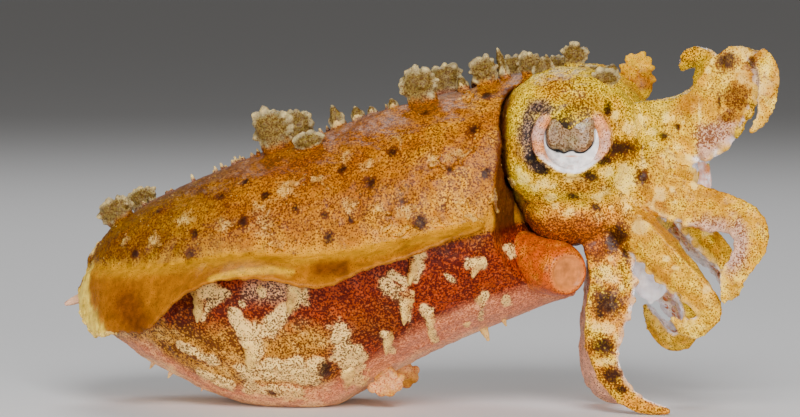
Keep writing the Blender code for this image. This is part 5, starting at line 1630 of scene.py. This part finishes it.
def head_colours(points):
    number, share, oral, across, far = arm_places(points)
    x, y, z = points.T
    broad, middle, small = rough(points, 4.0, 51), rough(points, 1.7, 53), rough(points, 0.7, 55)
    ragged = 0.45 * middle + 0.6 * small
    right = y < 0
    eye_far = np.hypot(x - EYE_CENTRE[0], z - EYE_CENTRE[2])

    # The head: golden round the eye, olive and creamy between, orange below. Painted brown shade lies
    # in the groove behind it, under it by the funnel and on the jowls, over their denser brown dots.
    tint = blend(OLIVE, GOLD, step(broad + 0.4 * middle, -0.4, 0.4))
    tint = tint * (1 + 0.30 * middle + 0.25 * small)[:, None]
    band = step(30.2 - z, 0, 1.4) * step(z - 24.6 + 0.8 * middle, 0, 1.8)
    tint = blend(tint, ARM_SAND, 0.6 * band * step(middle + small, -0.3, 0.5))
    cheek = step(26.4 + 1.0 * middle - z, 0, 2.6) * step(42.5 - x, 0, 3.0)
    # Painted shade under the head: the jowls turn brown, and their dots grow denser.
    jowl = step(24.8 + 0.8 * middle - z, 0, 2.0) * step(39.5 - x, 0, 2.0)
    tint = blend(tint, CHEEK, 0.9 * cheek)
    tint = blend(tint, JOWL_SHADE, jowl)
    cloud = flat_mask(points, HEAD_CLOUDS, 0.6 * middle + 0.3 * small, 0.7)
    cloud = np.maximum(cloud, 0.7 * step(broad - 0.5 * middle, 0.25, 0.8))
    tint = blend(tint, ARM_ORANGE, 0.55 * cloud)
    # Painted shade in the groove behind the head and under it near the funnel.
    groove = step(27.6 + 0.3 * small - x, 0, 1.2) + step(20.8 - z, 0, 1.0) * step(36 - x, 0, 2)
    tint = blend(tint, CREVICE_SHADE, np.clip(groove, 0, 1))
    ink = blend(INK_HEAD, INK_BACK, step(cloud + cheek, 0.2, 0.8))
    speckle = 0.58 + 0.22 * middle + 0.12 * small + 0.05 * cheek + 0.25 * cloud + 0.30 * jowl
    pale = 1.05 * flat_mask(points, HEAD_WHITE, 1.3 * ragged, 0.75)
    pale = np.maximum(pale, 0.08 + 0.42 * small + 0.12 * middle)
    pale = pale * (1 - 0.5 * cloud) * (1 - (0.25 * cheek + 0.4 * jowl) * step(z, 18.0, 20.0))
    dark = flat_mask(points, HEAD_DARK, 0.45 * small + 0.25 * middle, 0.8) * right

    # The arms: gold outside with cream and orange clouds, white on the sucker face.
    on_arm = step(x + 0.35 * (30 - z), 42.5, 45.5) * (far < 2.2)
    on_arm = np.maximum(on_arm, step(19.5 - z, 0, 2.0))
    golden = blend(ARM_GOLD, ARM_SAND, step(middle + 0.5 * small, -0.2, 0.6))
    golden = blend(golden, ARM_ORANGE, 0.7 * step(broad - 0.6 * middle, 0.0, 0.6))
    leg = (number == 3) | (number == 7)
    leg_tint = blend(CHEEK, ARM_SAND, step(middle + 0.4 * small, -0.3, 0.5))
    arm_tint = blend(golden, leg_tint, np.where(leg, 0.8, 0.0))
    arm_tint = blend(arm_tint, blend(PINK_LEG, ARM_SAND, 0.3 * step(middle, 0, 0.6)), (number == 7) * 1.0)
    arm_tint = blend(arm_tint, OLIVE, 0.6 * (number == 6) * step(middle, -0.5, 0.3))
    face = step(oral, 0.50, 0.74) * step(1.3 - np.abs(across), 0, 0.2)
    face = face * (1 - 0.7 * (number == 0) * step(share, 0.78, 0.85))
    arm_tint = blend(arm_tint, ORAL, face)
    clear = step(np.abs(across), 0.98, 1.15) * step(oral, 0.25, 0.6)
    arm_tint = blend(arm_tint, blend(ARM_SAND, PINK_LEG, np.where(leg, 0.7, 0.15)), 0.8 * clear)
    orange = right * flat_mask(points, ARM_PATCH, 0.3 * small, 0.35) * (number == 0)
    arm_tint = blend(arm_tint, BRONZE, orange)
    plum = right * flat_mask(points, ARM_PLUM, 0.3 * small, 0.4) * (number == 0) * (1 - orange)
    lilac = right * flat_mask(points, ARM_LILAC, 0.3 * small, 0.4) * (number == 1)
    arm_tint = blend(arm_tint, LAVENDER, 0.85 * np.maximum(plum, lilac))
    brown = right * flat_mask(points, ARM_BROWN, 0.4 * small, 0.4) * (number == 1)
    arm_tint = blend(arm_tint, ARM_ORANGE, brown)
    rich = np.maximum(np.maximum(plum, lilac), orange)
    arm_speckle = 0.46 + 0.26 * middle + 0.12 * small + 0.40 * rich + np.where(leg, 0.2, 0.0)
    arm_speckle = arm_speckle * (1 - 0.9 * face) * (1 - 0.6 * clear) - 0.35 * (number == 7)
    tips = 0.45 * step(share, 0.72, 0.85) * (1 - leg)
    arm_pale = np.maximum(0.04 + tips + 0.55 * small + 0.2 * middle, pale) * (1 - face) * (1 - 0.8 * rich)

    tint = blend(tint, arm_tint, on_arm)
    ink = blend(ink, blend(INK_ARM, INK_BACK, np.maximum(leg * 1.0, orange)), on_arm)
    speckle = speckle * (1 - on_arm) + arm_speckle * on_arm
    pale = pale * (1 - on_arm) + arm_pale * on_arm
    dark = dark * (1 - 0.7 * on_arm * face)

    # The purple patch beside the eye, the pink arms of its rim and the white rim below.
    purple = flat_mask(points, HEAD_PURPLE, 0.5 * small, 0.6) * (np.abs(y) > 8)
    ink = blend(ink, INK_PURPLE, purple)
    tint = blend(tint, LAVENDER, 0.9 * purple)
    tint = tint * (1 - 0.55 * purple)[:, None]
    speckle = speckle * (1 - purple) + 1.05 * purple
    pale = pale * (1 - purple)
    ring_edge = 4.85 - 0.75 * step(EYE_CENTRE[2] - z, 0.8, 3.2)
    ring = step(ring_edge + 0.2 * small - eye_far, 0, 0.3) * (np.abs(y) > 9)
    ring = ring * step(36.6 + 0.3 * small - z, 0, 0.8)
    brow = step(2.75 + 0.4 * small - np.abs(x - EYE_CENTRE[0]), 0, 0.6)
    ring = ring * (1 - step(z - EYE_CENTRE[2] - 0.3, 0, 0.6) * brow)
    low = step(EYE_CENTRE[2] - 1.6 - z + 0.3 * small, 0, 1.6)
    rim = blend(blend(SALMON, LAVENDER, step(middle + 0.3 * small, -0.3, 0.4)), EYE_WHITE, low)
    tint = blend(tint, rim, ring)
    ink = blend(ink, INK_ARM, ring)
    speckle = speckle * (1 - ring) + ring * (0.42 - 0.6 * low)
    lid = step(4.6 - eye_far, 0, 0.5) * (np.abs(y) > 9) * step(z - EYE_CENTRE[2] - 0.6, 0, 0.8) * (1 - ring)
    speckle = speckle + 0.35 * lid
    ink = blend(ink, INK_PURPLE, 0.5 * lid)
    pale, dark = pale * (1 - ring) * (1 - lid), dark * (1 - ring)
    return tint, ink, marks_of(np.clip(speckle, -0.3, 1.15), pale, dark)


HEAD_SKIN = skin_material("head skin", dot=0.21, fleck=0.34, roughness=0.34, coat=0.06)
paint(head_skin.data, *head_colours(points_of(head_skin.data)))
ARM_NODES = [f"{name}_{length}" for name in ARMS for length in ("base", "middle", "tip")]
finish_piece(head_skin, HEAD_SKIN, "skin_head", "head", *ARM_NODES)

# %% [markdown]
# ## The eye
# A cuttlefish's eye is covered by clear skin. Behind it the iris is silvery, and in bright light the pupil
# closes to a thin black W under a mottled flap. The eye is a curved dish with many small faces, so that
# the edge of the pupil can be painted on its points, and the slit is pressed in as a real groove.

# %% The eyes
PUPIL = (
    (-3.2, 1.7), (-3.25, 0.3), (-2.9, -0.8), (-2.2, -1.25), (-1.6, -1.2), (-0.95, -1.6),
    (-0.3, -1.35), (0.25, -1.3), (0.9, -1.55), (1.6, -1.4), (2.3, -0.8), (2.75, 0.3), (2.7, 1.7),
)
EYE_RINGS, EYE_TURNS, EYE_EDGE, PUPIL_STEPS = 90, 220, 4.62, 160
SLIT_WIDTH, SLIT_DEPTH, FLAP_RISE = 0.11, 0.22, 0.30
GAPE = ((-1.45, -1.42, 0.55, 0.16), (1.0, -1.52, 0.5, 0.07))


def pupil_places(u, v):
    """Distance from the pupil's line, and whether a place lies above it."""
    path = np.array(dense(PUPIL, PUPIL_STEPS))
    far = np.min(np.hypot(u[:, None] - path[None, :, 0], v[:, None] - path[None, :, 1]), axis=1)
    above = v > np.interp(u, path[:, 0], path[:, 1])
    above &= (u > path[0, 0]) & (u < path[-1, 0])
    return far, above


def build_eye(side_name):
    side = SIDES[side_name]
    radii = EYE_EDGE * np.sqrt(np.linspace(0, 1, EYE_RINGS + 1)[1:]) ** 1.2
    turns = np.linspace(0, math.tau, EYE_TURNS, endpoint=False)
    u = (radii[:, None] * np.cos(turns)).ravel()
    v = (radii[:, None] * np.sin(turns)).ravel()
    far, above = pupil_places(u, v)
    slit = np.exp(-((far / SLIT_WIDTH) ** 2))
    radius = EYE_RADIUS + FLAP_RISE * above * step(far, 0.05, 0.6) - SLIT_DEPTH * slit
    flat = np.stack([u, 0 * u, v], axis=1)
    radius = radius + 0.07 * above * rough(flat, 0.8, 65) * step(far, 0.1, 0.5)
    deep = np.sqrt(np.maximum(radius**2 - u * u - v * v, 0.0))
    bm = bmesh.new()
    grid = [
        bm.verts.new((EYE_CENTRE[0] + a, side * (EYE_CENTRE[1] + d), EYE_CENTRE[2] + b))
        for a, b, d in zip(u, v, deep)
    ]
    rings = [grid[i * EYE_TURNS : (i + 1) * EYE_TURNS] for i in range(EYE_RINGS)]
    back = [bm.verts.new((p.co.x, side * (EYE_FLOOR + 0.2), p.co.z)) for p in rings[-1]]
    rings.append(back)
    bridge(bm, rings)
    front = bm.verts.new((EYE_CENTRE[0], side * (EYE_CENTRE[1] + EYE_RADIUS + FLAP_RISE), EYE_CENTRE[2]))
    middle = bm.verts.new((EYE_CENTRE[0], side * (EYE_FLOOR + 0.2), EYE_CENTRE[2]))
    fan(bm, rings[0], front)
    fan(bm, back, middle)
    obj = as_object([bm], f"eye_{side_name}_ball")
    points = points_of(obj.data)
    a, b = points[:, 0] - EYE_CENTRE[0], points[:, 2] - EYE_CENTRE[2]
    far, above = pupil_places(a, b)
    out = np.hypot(a, b)
    clouds, small = rough(points, 0.9, 61), rough(points, 0.35, 63)
    tint = blend(EYE_WHITE, LAVENDER, 0.5 * step(out + 0.3 * clouds, 3.3, 4.3))
    tint = blend(tint, PINK_LEG, 0.55 * step(small, 0.25, 0.6) * step(-b, 1.6, 3.0))
    mottled = blend(IRIS, PAPILLA, step(clouds + 0.3 * small, -0.2, 0.5))
    mottled = blend(mottled, SALMON, 0.6 * step(a - b, 1.5, 3.6))
    mottled = blend(mottled, INK_HEAD, 0.75 * step(small + 0.4 * clouds - 0.12 * b, 0.12, 0.5))
    tint = blend(tint, mottled, above * 1.0)
    slit = np.exp(-((far / SLIT_WIDTH) ** 2)) * (1 - 0.55 * step(b, -0.9, 0.4))
    gape = sum(np.exp(-(((a - x) / wide) ** 2) - ((b - z) / high) ** 2) for x, z, wide, high in GAPE)
    tint = blend(tint, BLACK, np.clip(1.2 * slit + 1.5 * gape, 0, 1))
    line = np.exp(-((a / 0.8) ** 2) - ((b + 1.95) / 0.10) ** 2)
    tint = blend(tint, SALMON, np.clip(line, 0, 0.9))
    ink = blend(INK_ARM + 0 * tint, INK_HEAD, above * 1.0)
    speckle = 0.25 * step(out, 3.3, 4.2) * step(b, -3.0, 0.0) + 0.50 * above
    speckle = speckle * (1 - slit) - 0.5 * (1 - above) * step(3.4 - out, 0, 0.4)
    paint(obj.data, tint, ink, marks_of(speckle))
    return obj


CLEAR_LAYER = dict(roughness=0.3, coat=0.35, sss=0.0, bump=0.12)
EYE_SKIN = skin_material("eye under clear skin", dot=0.22, fleck=None, **CLEAR_LAYER)
shader = EYE_SKIN.node_tree.nodes["Principled BSDF"]
shader.inputs["Coat Roughness"].default_value = EYE_COAT_ROUGHNESS
for side_name in SIDES:
    finish_piece(build_eye(side_name), EYE_SKIN, "eye", f"eye_{side_name}")


# %% [markdown]
# ## The funnel
# The funnel is the muscular nozzle through which the animal breathes out and swims. Here it shows as a
# smooth orange tube that points to the camera from under the head. Its opening is closed, so a shallow
# paler dish inside a rounded lip, fused and smoothed, stands for it.

# %% The funnel
FUNNEL = (
    (26.6, -4.4, 18.4, 3.6),
    (29.6, -5.9, 18.0, 3.5),
    (32.0, -7.8, 17.6, 3.4),
    (33.4, -9.6, 17.2, 3.0),
    (34.0, -10.4, 17.1, 2.5),
)
FUNNEL_MOUTH, FUNNEL_DEPTH, FUNNEL_SIDES, FUNNEL_VOXEL = 2.1, 0.3, 48, 0.17
MOUTH_EDGE = 2.2


def build_funnel():
    obj = as_object([tube(dense(FUNNEL, 40), FUNNEL_SIDES)], "funnel_skin")
    end, before = Vector(FUNNEL[-1][:3]), Vector(FUNNEL[-2][:3])
    out = (end - before).normalized()
    deep = end - out * FUNNEL_DEPTH
    cut(obj, [tube(((*deep, FUNNEL_MOUTH * 0.9), (*(end + out), FUNNEL_MOUTH * 1.1)), FUNNEL_SIDES)])
    for shape in head_shapes(0.1):
        cut(obj, [shape])
    fuse(obj, FUNNEL_VOXEL, 5)
    points = points_of(obj.data)
    aside = points - np.array(end)
    ahead = aside @ np.array(out)
    from_axis = np.linalg.norm(aside - ahead[:, None] * np.array(out), axis=1)
    mouth = step(MOUTH_EDGE - from_axis, 0, 0.25) * step(ahead, -1.6, -0.9)
    noise_here, fine = rough(points, 1.5, 71), rough(points, 0.5, 73)
    tint = blend(ORANGE, CHEEK, 0.4 * step(noise_here + 0.4 * fine, -0.2, 0.6))
    tint = blend(tint, PEACH, mouth)
    lip = np.exp(-(((from_axis - MOUTH_EDGE) / 0.22) ** 2)) * step(ahead, -1.2, -0.4)
    tint = blend(tint, PEACH * 1.25, 0.6 * lip)
    ink = blend(INK_BACK + 0 * tint, INK_SOFT, mouth)
    speckle = (0.45 + 0.15 * noise_here) * (1 - mouth) - 0.4 * mouth
    paint(obj.data, tint, ink, marks_of(speckle))
    return obj


SMOOTH = dict(roughness=0.36, coat=0.12, bump=0.3)
SMOOTH_SKIN = skin_material("smooth skin", dot=0.22, fleck=0.35, sss=0.05, **SMOOTH)
finish_piece(build_funnel(), SMOOTH_SKIN, "funnel", "funnel")

# %% [markdown]
# ## The mouth, the feeding tentacles and the walking flaps
# Between the arms lie the soft mouth and the drawn-in ends of the two long tentacles, which shoot out to
# catch prey. Two lobed flaps under the belly help the animal to walk. They are pale and smooth. The mouth
# and the tentacles sit in the shade between the arms, and a faint emission in their material is painted
# light that brightens them.

# %% Small pale parts
MOUTH = ((46.8, 0.0, 27.8), (2.9, 2.9, 2.9))
LIP_RADIUS, LIP_THICKNESS, LIP_KNOBS = 1.5, 0.45, 18
TENTACLE = (
    (41.2, 2.25, 22.0, 1.5),
    (41.9, 2.25, 19.0, 1.8),
    (42.5, 2.25, 16.6, 1.95),
    (42.8, 2.25, 15.0, 1.8),
    (43.0, 2.25, 13.9, 1.2),
    (43.0, 2.25, 13.3, 0.4),
)
FLAP_X, FLAP_ANGLE = 11.6, -74
SMALL_VOXEL, CLUB_VOXEL = 0.16, 0.2
FLAP_LOBES = ((-2.9, 1.6, 0.7), (-2.0, 2.3, 0.8), (-1.0, 2.6, 0.85), (0.0, 2.3, 0.8), (0.7, 1.5, 0.6))


def paint_plain(obj, tint_low, tint_high, speckle, seed):
    """Pale flesh with a little mottling."""
    points = points_of(obj.data)
    cloud = rough(points, 1.4, seed)
    tint = blend(tint_low, tint_high, step(cloud, -0.5, 0.5))
    paint(obj.data, tint, INK_SOFT + 0 * tint, marks_of(speckle + 0.1 * cloud))


def build_mouth():
    centre, radii = MOUTH
    front = Vector(centre) + Vector((radii[0] - 0.25, 0, 0))
    made = [ball(centre, radii)]
    for a in round_turn(LIP_KNOBS):
        out = Vector((0, math.cos(a), math.sin(a)))
        blob(made, front + out * LIP_RADIUS, LIP_THICKNESS * dice.uniform(0.9, 1.15))
        blob(made, front + out * (LIP_RADIUS + 0.55) - Vector((0.35, 0, 0)), 0.35)
    obj = as_object(made, "mouth_lips")
    fuse(obj, SMALL_VOXEL, 1)
    paint_plain(obj, ORAL, SALMON, 0.12, 81)
    return obj


def build_tentacle(side_name):
    rows = dense([(*mirrored(row[:3], SIDES[side_name]), row[3]) for row in TENTACLE], 30)
    end = rows[-1]
    made = [tube(rows, 28), ball(end[:3], (end[3] * 1.02,) * 3, sides=20, rings=12)]
    obj = as_object(made, f"tentacle_{side_name}_club")
    fuse(obj, CLUB_VOXEL, 4)
    paint_plain(obj, ORAL, EYE_WHITE, 0.05, 83)
    return obj


def build_flap(side_name):
    side = SIDES[side_name]
    foot, up = mantle_place(FLAP_X, FLAP_ANGLE if side == LEFT else 180 - FLAP_ANGLE)
    along, _, hang = papilla_frame(up + Vector((0.1, side * 0.25, -0.6)))
    made = [ball(foot + hang * 0.9 - along, (1.5, 0.6, 1.5), sides=20, rings=14)]
    for aside, down, size in FLAP_LOBES:
        spot = foot + along * aside + hang * down
        made.append(ball(spot, (size, 0.5 * size, size), sides=16, rings=12))
    obj = as_object(made, f"walking_flap_{side_name}_skin")
    fuse(obj, SMALL_VOXEL, 3)
    paint_plain(obj, SAND, WHITE_GROUND, 0.45, 85)
    return obj


# The pale flesh's emission is painted light that brightens the mouth and the tentacles between the arms.
PALE_FLESH = skin_material("pale flesh", dot=0.22, fleck=None, sss=0.1, painted_glow=0.4, **SMOOTH)
finish_piece(build_mouth(), PALE_FLESH, "pale_flesh", "mouth")
for side_name in SIDES:
    finish_piece(build_tentacle(side_name), PALE_FLESH, "pale_flesh", f"tentacle_{side_name}")
    finish_piece(build_flap(side_name), SMOOTH_SKIN, "pale_flesh", f"walking_flap_{side_name}")


# %% [markdown]
# ## The shell's spine
# The tip of the cuttlebone stands out at the tail as a short blunt spine, chalky and faintly ringed. A
# tube whose radius swells at each ring is all it needs.

# %% The tail spine
SPINE_ROOT, SPINE_TIP = Vector((-26.0, 0.0, 13.6)), Vector((-30.2, 0.0, 11.9))
SPINE_PROFILE = ((0.0, 0.78), (0.3, 0.72), (0.6, 0.6), (0.85, 0.45), (1.0, 0.28))
SPINE_RINGS, SPINE_RING_RISE, SPINE_STEPS, SPINE_VOXEL = 9, 0.035, 60, 0.07


def build_spine():
    rows = []
    for i in range(SPINE_STEPS + 1):
        share = i / SPINE_STEPS
        radius = between(SPINE_PROFILE, share_at(SPINE_PROFILE, share))[1]
        radius *= 1 + SPINE_RING_RISE * math.sin(math.tau * SPINE_RINGS * share)
        rows.append((*SPINE_ROOT.lerp(SPINE_TIP, share), radius))
    tip = ball(SPINE_TIP, (0.28,) * 3, sides=16, rings=10)
    obj = as_object([tube(rows, 24), tip], "tail_spine_tip")
    fuse(obj, SPINE_VOXEL, 2)
    paint_plain(obj, BELLY_WHITE, LAVENDER, 0.1, 91)
    return obj


CHALK = skin_material("chalky shell", dot=0.35, fleck=0.5, roughness=0.7, coat=0.0, sss=0.0, bump=0.6)
finish_piece(build_spine(), CHALK, "spine", "tail_spine")

# %% [markdown]
# ## Suckers
# Four rows of tiny suckers line each arm. They could be placed by hand, but they follow a rule, so
# Geometry Nodes are the right tool: one small cup, and a cloud of points that each know which way to
# face and how large to be. The tree puts a cup on each point and makes the copies real.

# %% Suckers by Geometry Nodes
SUCKER_STEP, SUCKER_LARGEST, SUCKERS_FROM, SUCKERS_END = 0.95, 0.40, 6.5, 0.8
SUCKER_ROWS = (-0.62, -0.22, 0.22, 0.62)
CUP_PROFILE = ((0.62, -0.55), (0.78, -0.1), (1.0, 0.25), (0.86, 0.42), (0.52, 0.20))
CUP_SIDES = 8


def cup_mesh():
    """One sucker of unit radius, a short stalk with a hollow cup."""
    bm = bmesh.new()
    turns = round_turn(CUP_SIDES)
    rings = [[bm.verts.new((r * math.cos(a), r * math.sin(a), z)) for a in turns] for r, z in CUP_PROFILE]
    bridge(bm, rings)
    bm.faces.new(rings[0][::-1])
    bm.faces.new(rings[-1])
    bmesh.ops.recalc_face_normals(bm, faces=bm.faces)
    mesh = bpy.data.meshes.new("cup")
    bm.to_mesh(mesh)
    bm.free()
    return bpy.data.objects.new("cup", mesh)


def sucker_points():
    """Where the suckers sit, which way they face and how large they are."""
    places, facings, sizes = [], [], []
    for curl, rows, side in each_arm():
        line = arm_line(rows)
        far, odd = SUCKERS_FROM, 0
        while far < line[-1][0] - SUCKERS_END:
            middle, oral, across, depth, width = arm_frame(line, far, curl, side)
            size = SUCKER_LARGEST * min(1.0, width / 2.1)
            for row in SUCKER_ROWS[odd::2]:
                place = middle + across * (row * width) + oral * ((0.61 + 0.08 * abs(row)) * depth)
                if place.z > 0.5 and size > 0.09:
                    places.append(place)
                    facings.append(oral)
                    sizes.append(size)
            far += SUCKER_STEP * max(0.35, min(1.0, width / 2.1))
            odd = 1 - odd
    mesh = bpy.data.meshes.new("sucker places")
    mesh.from_pydata(places, [], [])
    store(mesh, "facing", "FLOAT_VECTOR", [tuple(facing) for facing in facings])
    store(mesh, "size", "FLOAT", sizes)
    print(len(places), "suckers")
    return mesh


def new_tree(name, sockets):
    """A Geometry Nodes tree with named inputs and the kinds of their sockets, and its start and end."""
    tree = bpy.data.node_groups.new(name, "GeometryNodeTree")
    tree.interface.new_socket("Geometry", in_out="INPUT", socket_type="NodeSocketGeometry")
    tree.interface.new_socket("Geometry", in_out="OUTPUT", socket_type="NodeSocketGeometry")
    for label, kind in sockets.items():
        tree.interface.new_socket(label, in_out="INPUT", socket_type="NodeSocket" + kind)
    return tree, tree.nodes.new("NodeGroupInput"), tree.nodes.new("NodeGroupOutput")


def put_on_points(tree, placing, start, end):
    """Ends a tree: a thing on each point, the copies made real and dressed."""
    placed = add(tree, "GeometryNodeInstanceOnPoints", placing)
    real = add(tree, "GeometryNodeRealizeInstances", {"Geometry": placed.outputs["Instances"]})
    dressing = {"Geometry": real.outputs["Geometry"], "Material": start.outputs["Skin"]}
    dressed = add(tree, "GeometryNodeSetMaterial", dressing)
    tree.links.new(dressed.outputs["Geometry"], end.inputs["Geometry"])
    return tree


def run_tree(obj, tree, inputs):
    """Applies a tree to an object. Each input is set by its socket's identifier."""
    modifier = obj.modifiers.new(tree.name, "NODES")
    modifier.node_group = tree
    for item in tree.interface.items_tree:
        if item.item_type == "SOCKET" and item.in_out == "INPUT" and item.name in inputs:
            modifier[item.identifier] = inputs[item.name]
    return apply_modifiers(obj)


def sucker_tree():
    tree, start, end = new_tree("suckers on points", {"Cup": "Object", "Size": "Float", "Skin": "Material"})
    cup = add(tree, "GeometryNodeObjectInfo", {"Object": start.outputs["Cup"]})
    dots = add(tree, "GeometryNodeMeshToPoints", {"Mesh": start.outputs["Geometry"]})
    facing = add(tree, "GeometryNodeInputNamedAttribute", {"Name": "facing"}, data_type="FLOAT_VECTOR")
    size = add(tree, "GeometryNodeInputNamedAttribute", {"Name": "size"}, data_type="FLOAT")
    turn = add(tree, "FunctionNodeAlignRotationToVector", {"Vector": facing.outputs["Attribute"]}, axis="Z")
    placing = {
        "Points": dots.outputs["Points"],
        "Instance": cup.outputs["Geometry"],
        "Rotation": turn.outputs["Rotation"],
        "Scale": calc(tree, "MULTIPLY", size.outputs["Attribute"], start.outputs["Size"]),
    }
    return put_on_points(tree, placing, start, end)


def build_suckers():
    obj = put_in_scene(bpy.data.objects.new("suckers", sucker_points()))
    run_tree(obj, sucker_tree(), {"Cup": cup_mesh(), "Size": 1.0, "Skin": SMOOTH_SKIN})
    paint_plain(obj, ORAL, PEACH, 0.05, 93)
    return obj


finish_piece(build_suckers(), SMOOTH_SKIN, "skin_arm")

# %% [markdown]
# ## Skin granules
# Small pale bumps dot the head, the arms and the back. They are scattered by Geometry Nodes over the
# finished skin: Distribute Points on Faces in its Poisson mode keeps them apart, and a random scale
# keeps them uneven. The seed is fixed, so they fall in the same places each time.

# %% Granules by Geometry Nodes
GRAIN_RADIUS, GRAIN_APART, GRAIN_DENSITY, GRAIN_SEED = 0.00011, 0.0005, 1600000.0, 8553
GRAIN_SMALLEST, GRAIN_LARGEST = (0.5, 0.5, 0.4), (1.5, 1.5, 1.1)


def grain_tree():
    sockets = {"Radius": "Float", "Apart": "Float", "Density": "Float", "Seed": "Int", "Skin": "Material"}
    tree, start, end = new_tree("grains on skin", sockets)
    wanted = add(tree, "GeometryNodeInputNamedAttribute", {"Name": "grain"}, data_type="FLOAT")
    scatter = {
        "Mesh": start.outputs["Geometry"],
        "Distance Min": start.outputs["Apart"],
        "Density Max": start.outputs["Density"],
        "Density Factor": wanted.outputs["Attribute"],
        "Seed": start.outputs["Seed"],
    }
    dots = add(tree, "GeometryNodeDistributePointsOnFaces", scatter, distribute_method="POISSON")
    grain = add(tree, "GeometryNodeMeshIcoSphere", {"Radius": start.outputs["Radius"], "Subdivisions": 1})
    uneven = {"Min": GRAIN_SMALLEST, "Max": GRAIN_LARGEST, "Seed": start.outputs["Seed"]}
    sizes = add(tree, "FunctionNodeRandomValue", uneven, data_type="FLOAT_VECTOR")
    placing = {
        "Points": dots.outputs["Points"],
        "Instance": grain.outputs["Mesh"],
        "Rotation": dots.outputs["Rotation"],
        "Scale": sizes.outputs["Value"],
    }
    return put_on_points(tree, placing, start, end)


def grain_wish(points, marks):
    """Grains grow where the skin is pale, and none on fins, belly, sucker faces and round the eyes."""
    out, up = height_on_mantle(points)
    mantle = points[:, 0] < 27.5
    eye_far = np.hypot(points[:, 0] - EYE_CENTRE[0], points[:, 2] - EYE_CENTRE[2])
    calm = step(eye_far, 5.0, 6.4) * (points[:, 2] > 1.0)
    wish = 0.10 + 0.9 * step(marks[:, 1], 0.35, 0.7)
    wish = wish * np.where(mantle, step(up, 0.05, 0.2) * (out < 0.5), 1.0)
    return wish * calm


def build_grains(skin, name, wish):
    """Grains over a copy of a finished skin, in metres."""
    obj = put_in_scene(bpy.data.objects.new(name, skin.data.copy()))
    store(obj.data, "grain", "FLOAT", wish)
    inputs = {"Radius": GRAIN_RADIUS, "Apart": GRAIN_APART, "Density": GRAIN_DENSITY, "Seed": GRAIN_SEED}
    run_tree(obj, grain_tree(), {**inputs, "Skin": GRAIN_SKIN})
    obj.data.transform(Matrix.Scale(1 / MM, 4))
    for left in [a.name for a in obj.data.attributes if a.name in ("tint", "ink", "marks", "grain")]:
        obj.data.attributes.remove(obj.data.attributes[left])
    return obj


GRAIN_SKIN = skin_material("grain skin", fleck=0.3, roughness=0.4, coat=0.1, sss=0.1, bump=0.3)
for skin, name, slot in (
    (mantle_skin, "mantle_grains", "skin_back"),
    (head_skin, "head_grains", "skin_head"),
):
    skin_points = points_of(skin.data) / MM
    skin_marks = read(skin.data.attributes["marks"].data, "color", 4)
    grains = build_grains(skin, name, grain_wish(skin_points, skin_marks))
    colours = mantle_colours if skin is mantle_skin else head_colours
    tint, ink, marks = colours(points_of(grains.data))
    tint = blend(tint, CREAM, 0.25)
    paint(grains.data, tint, ink, marks)
    finish_piece(grains, GRAIN_SKIN, slot)
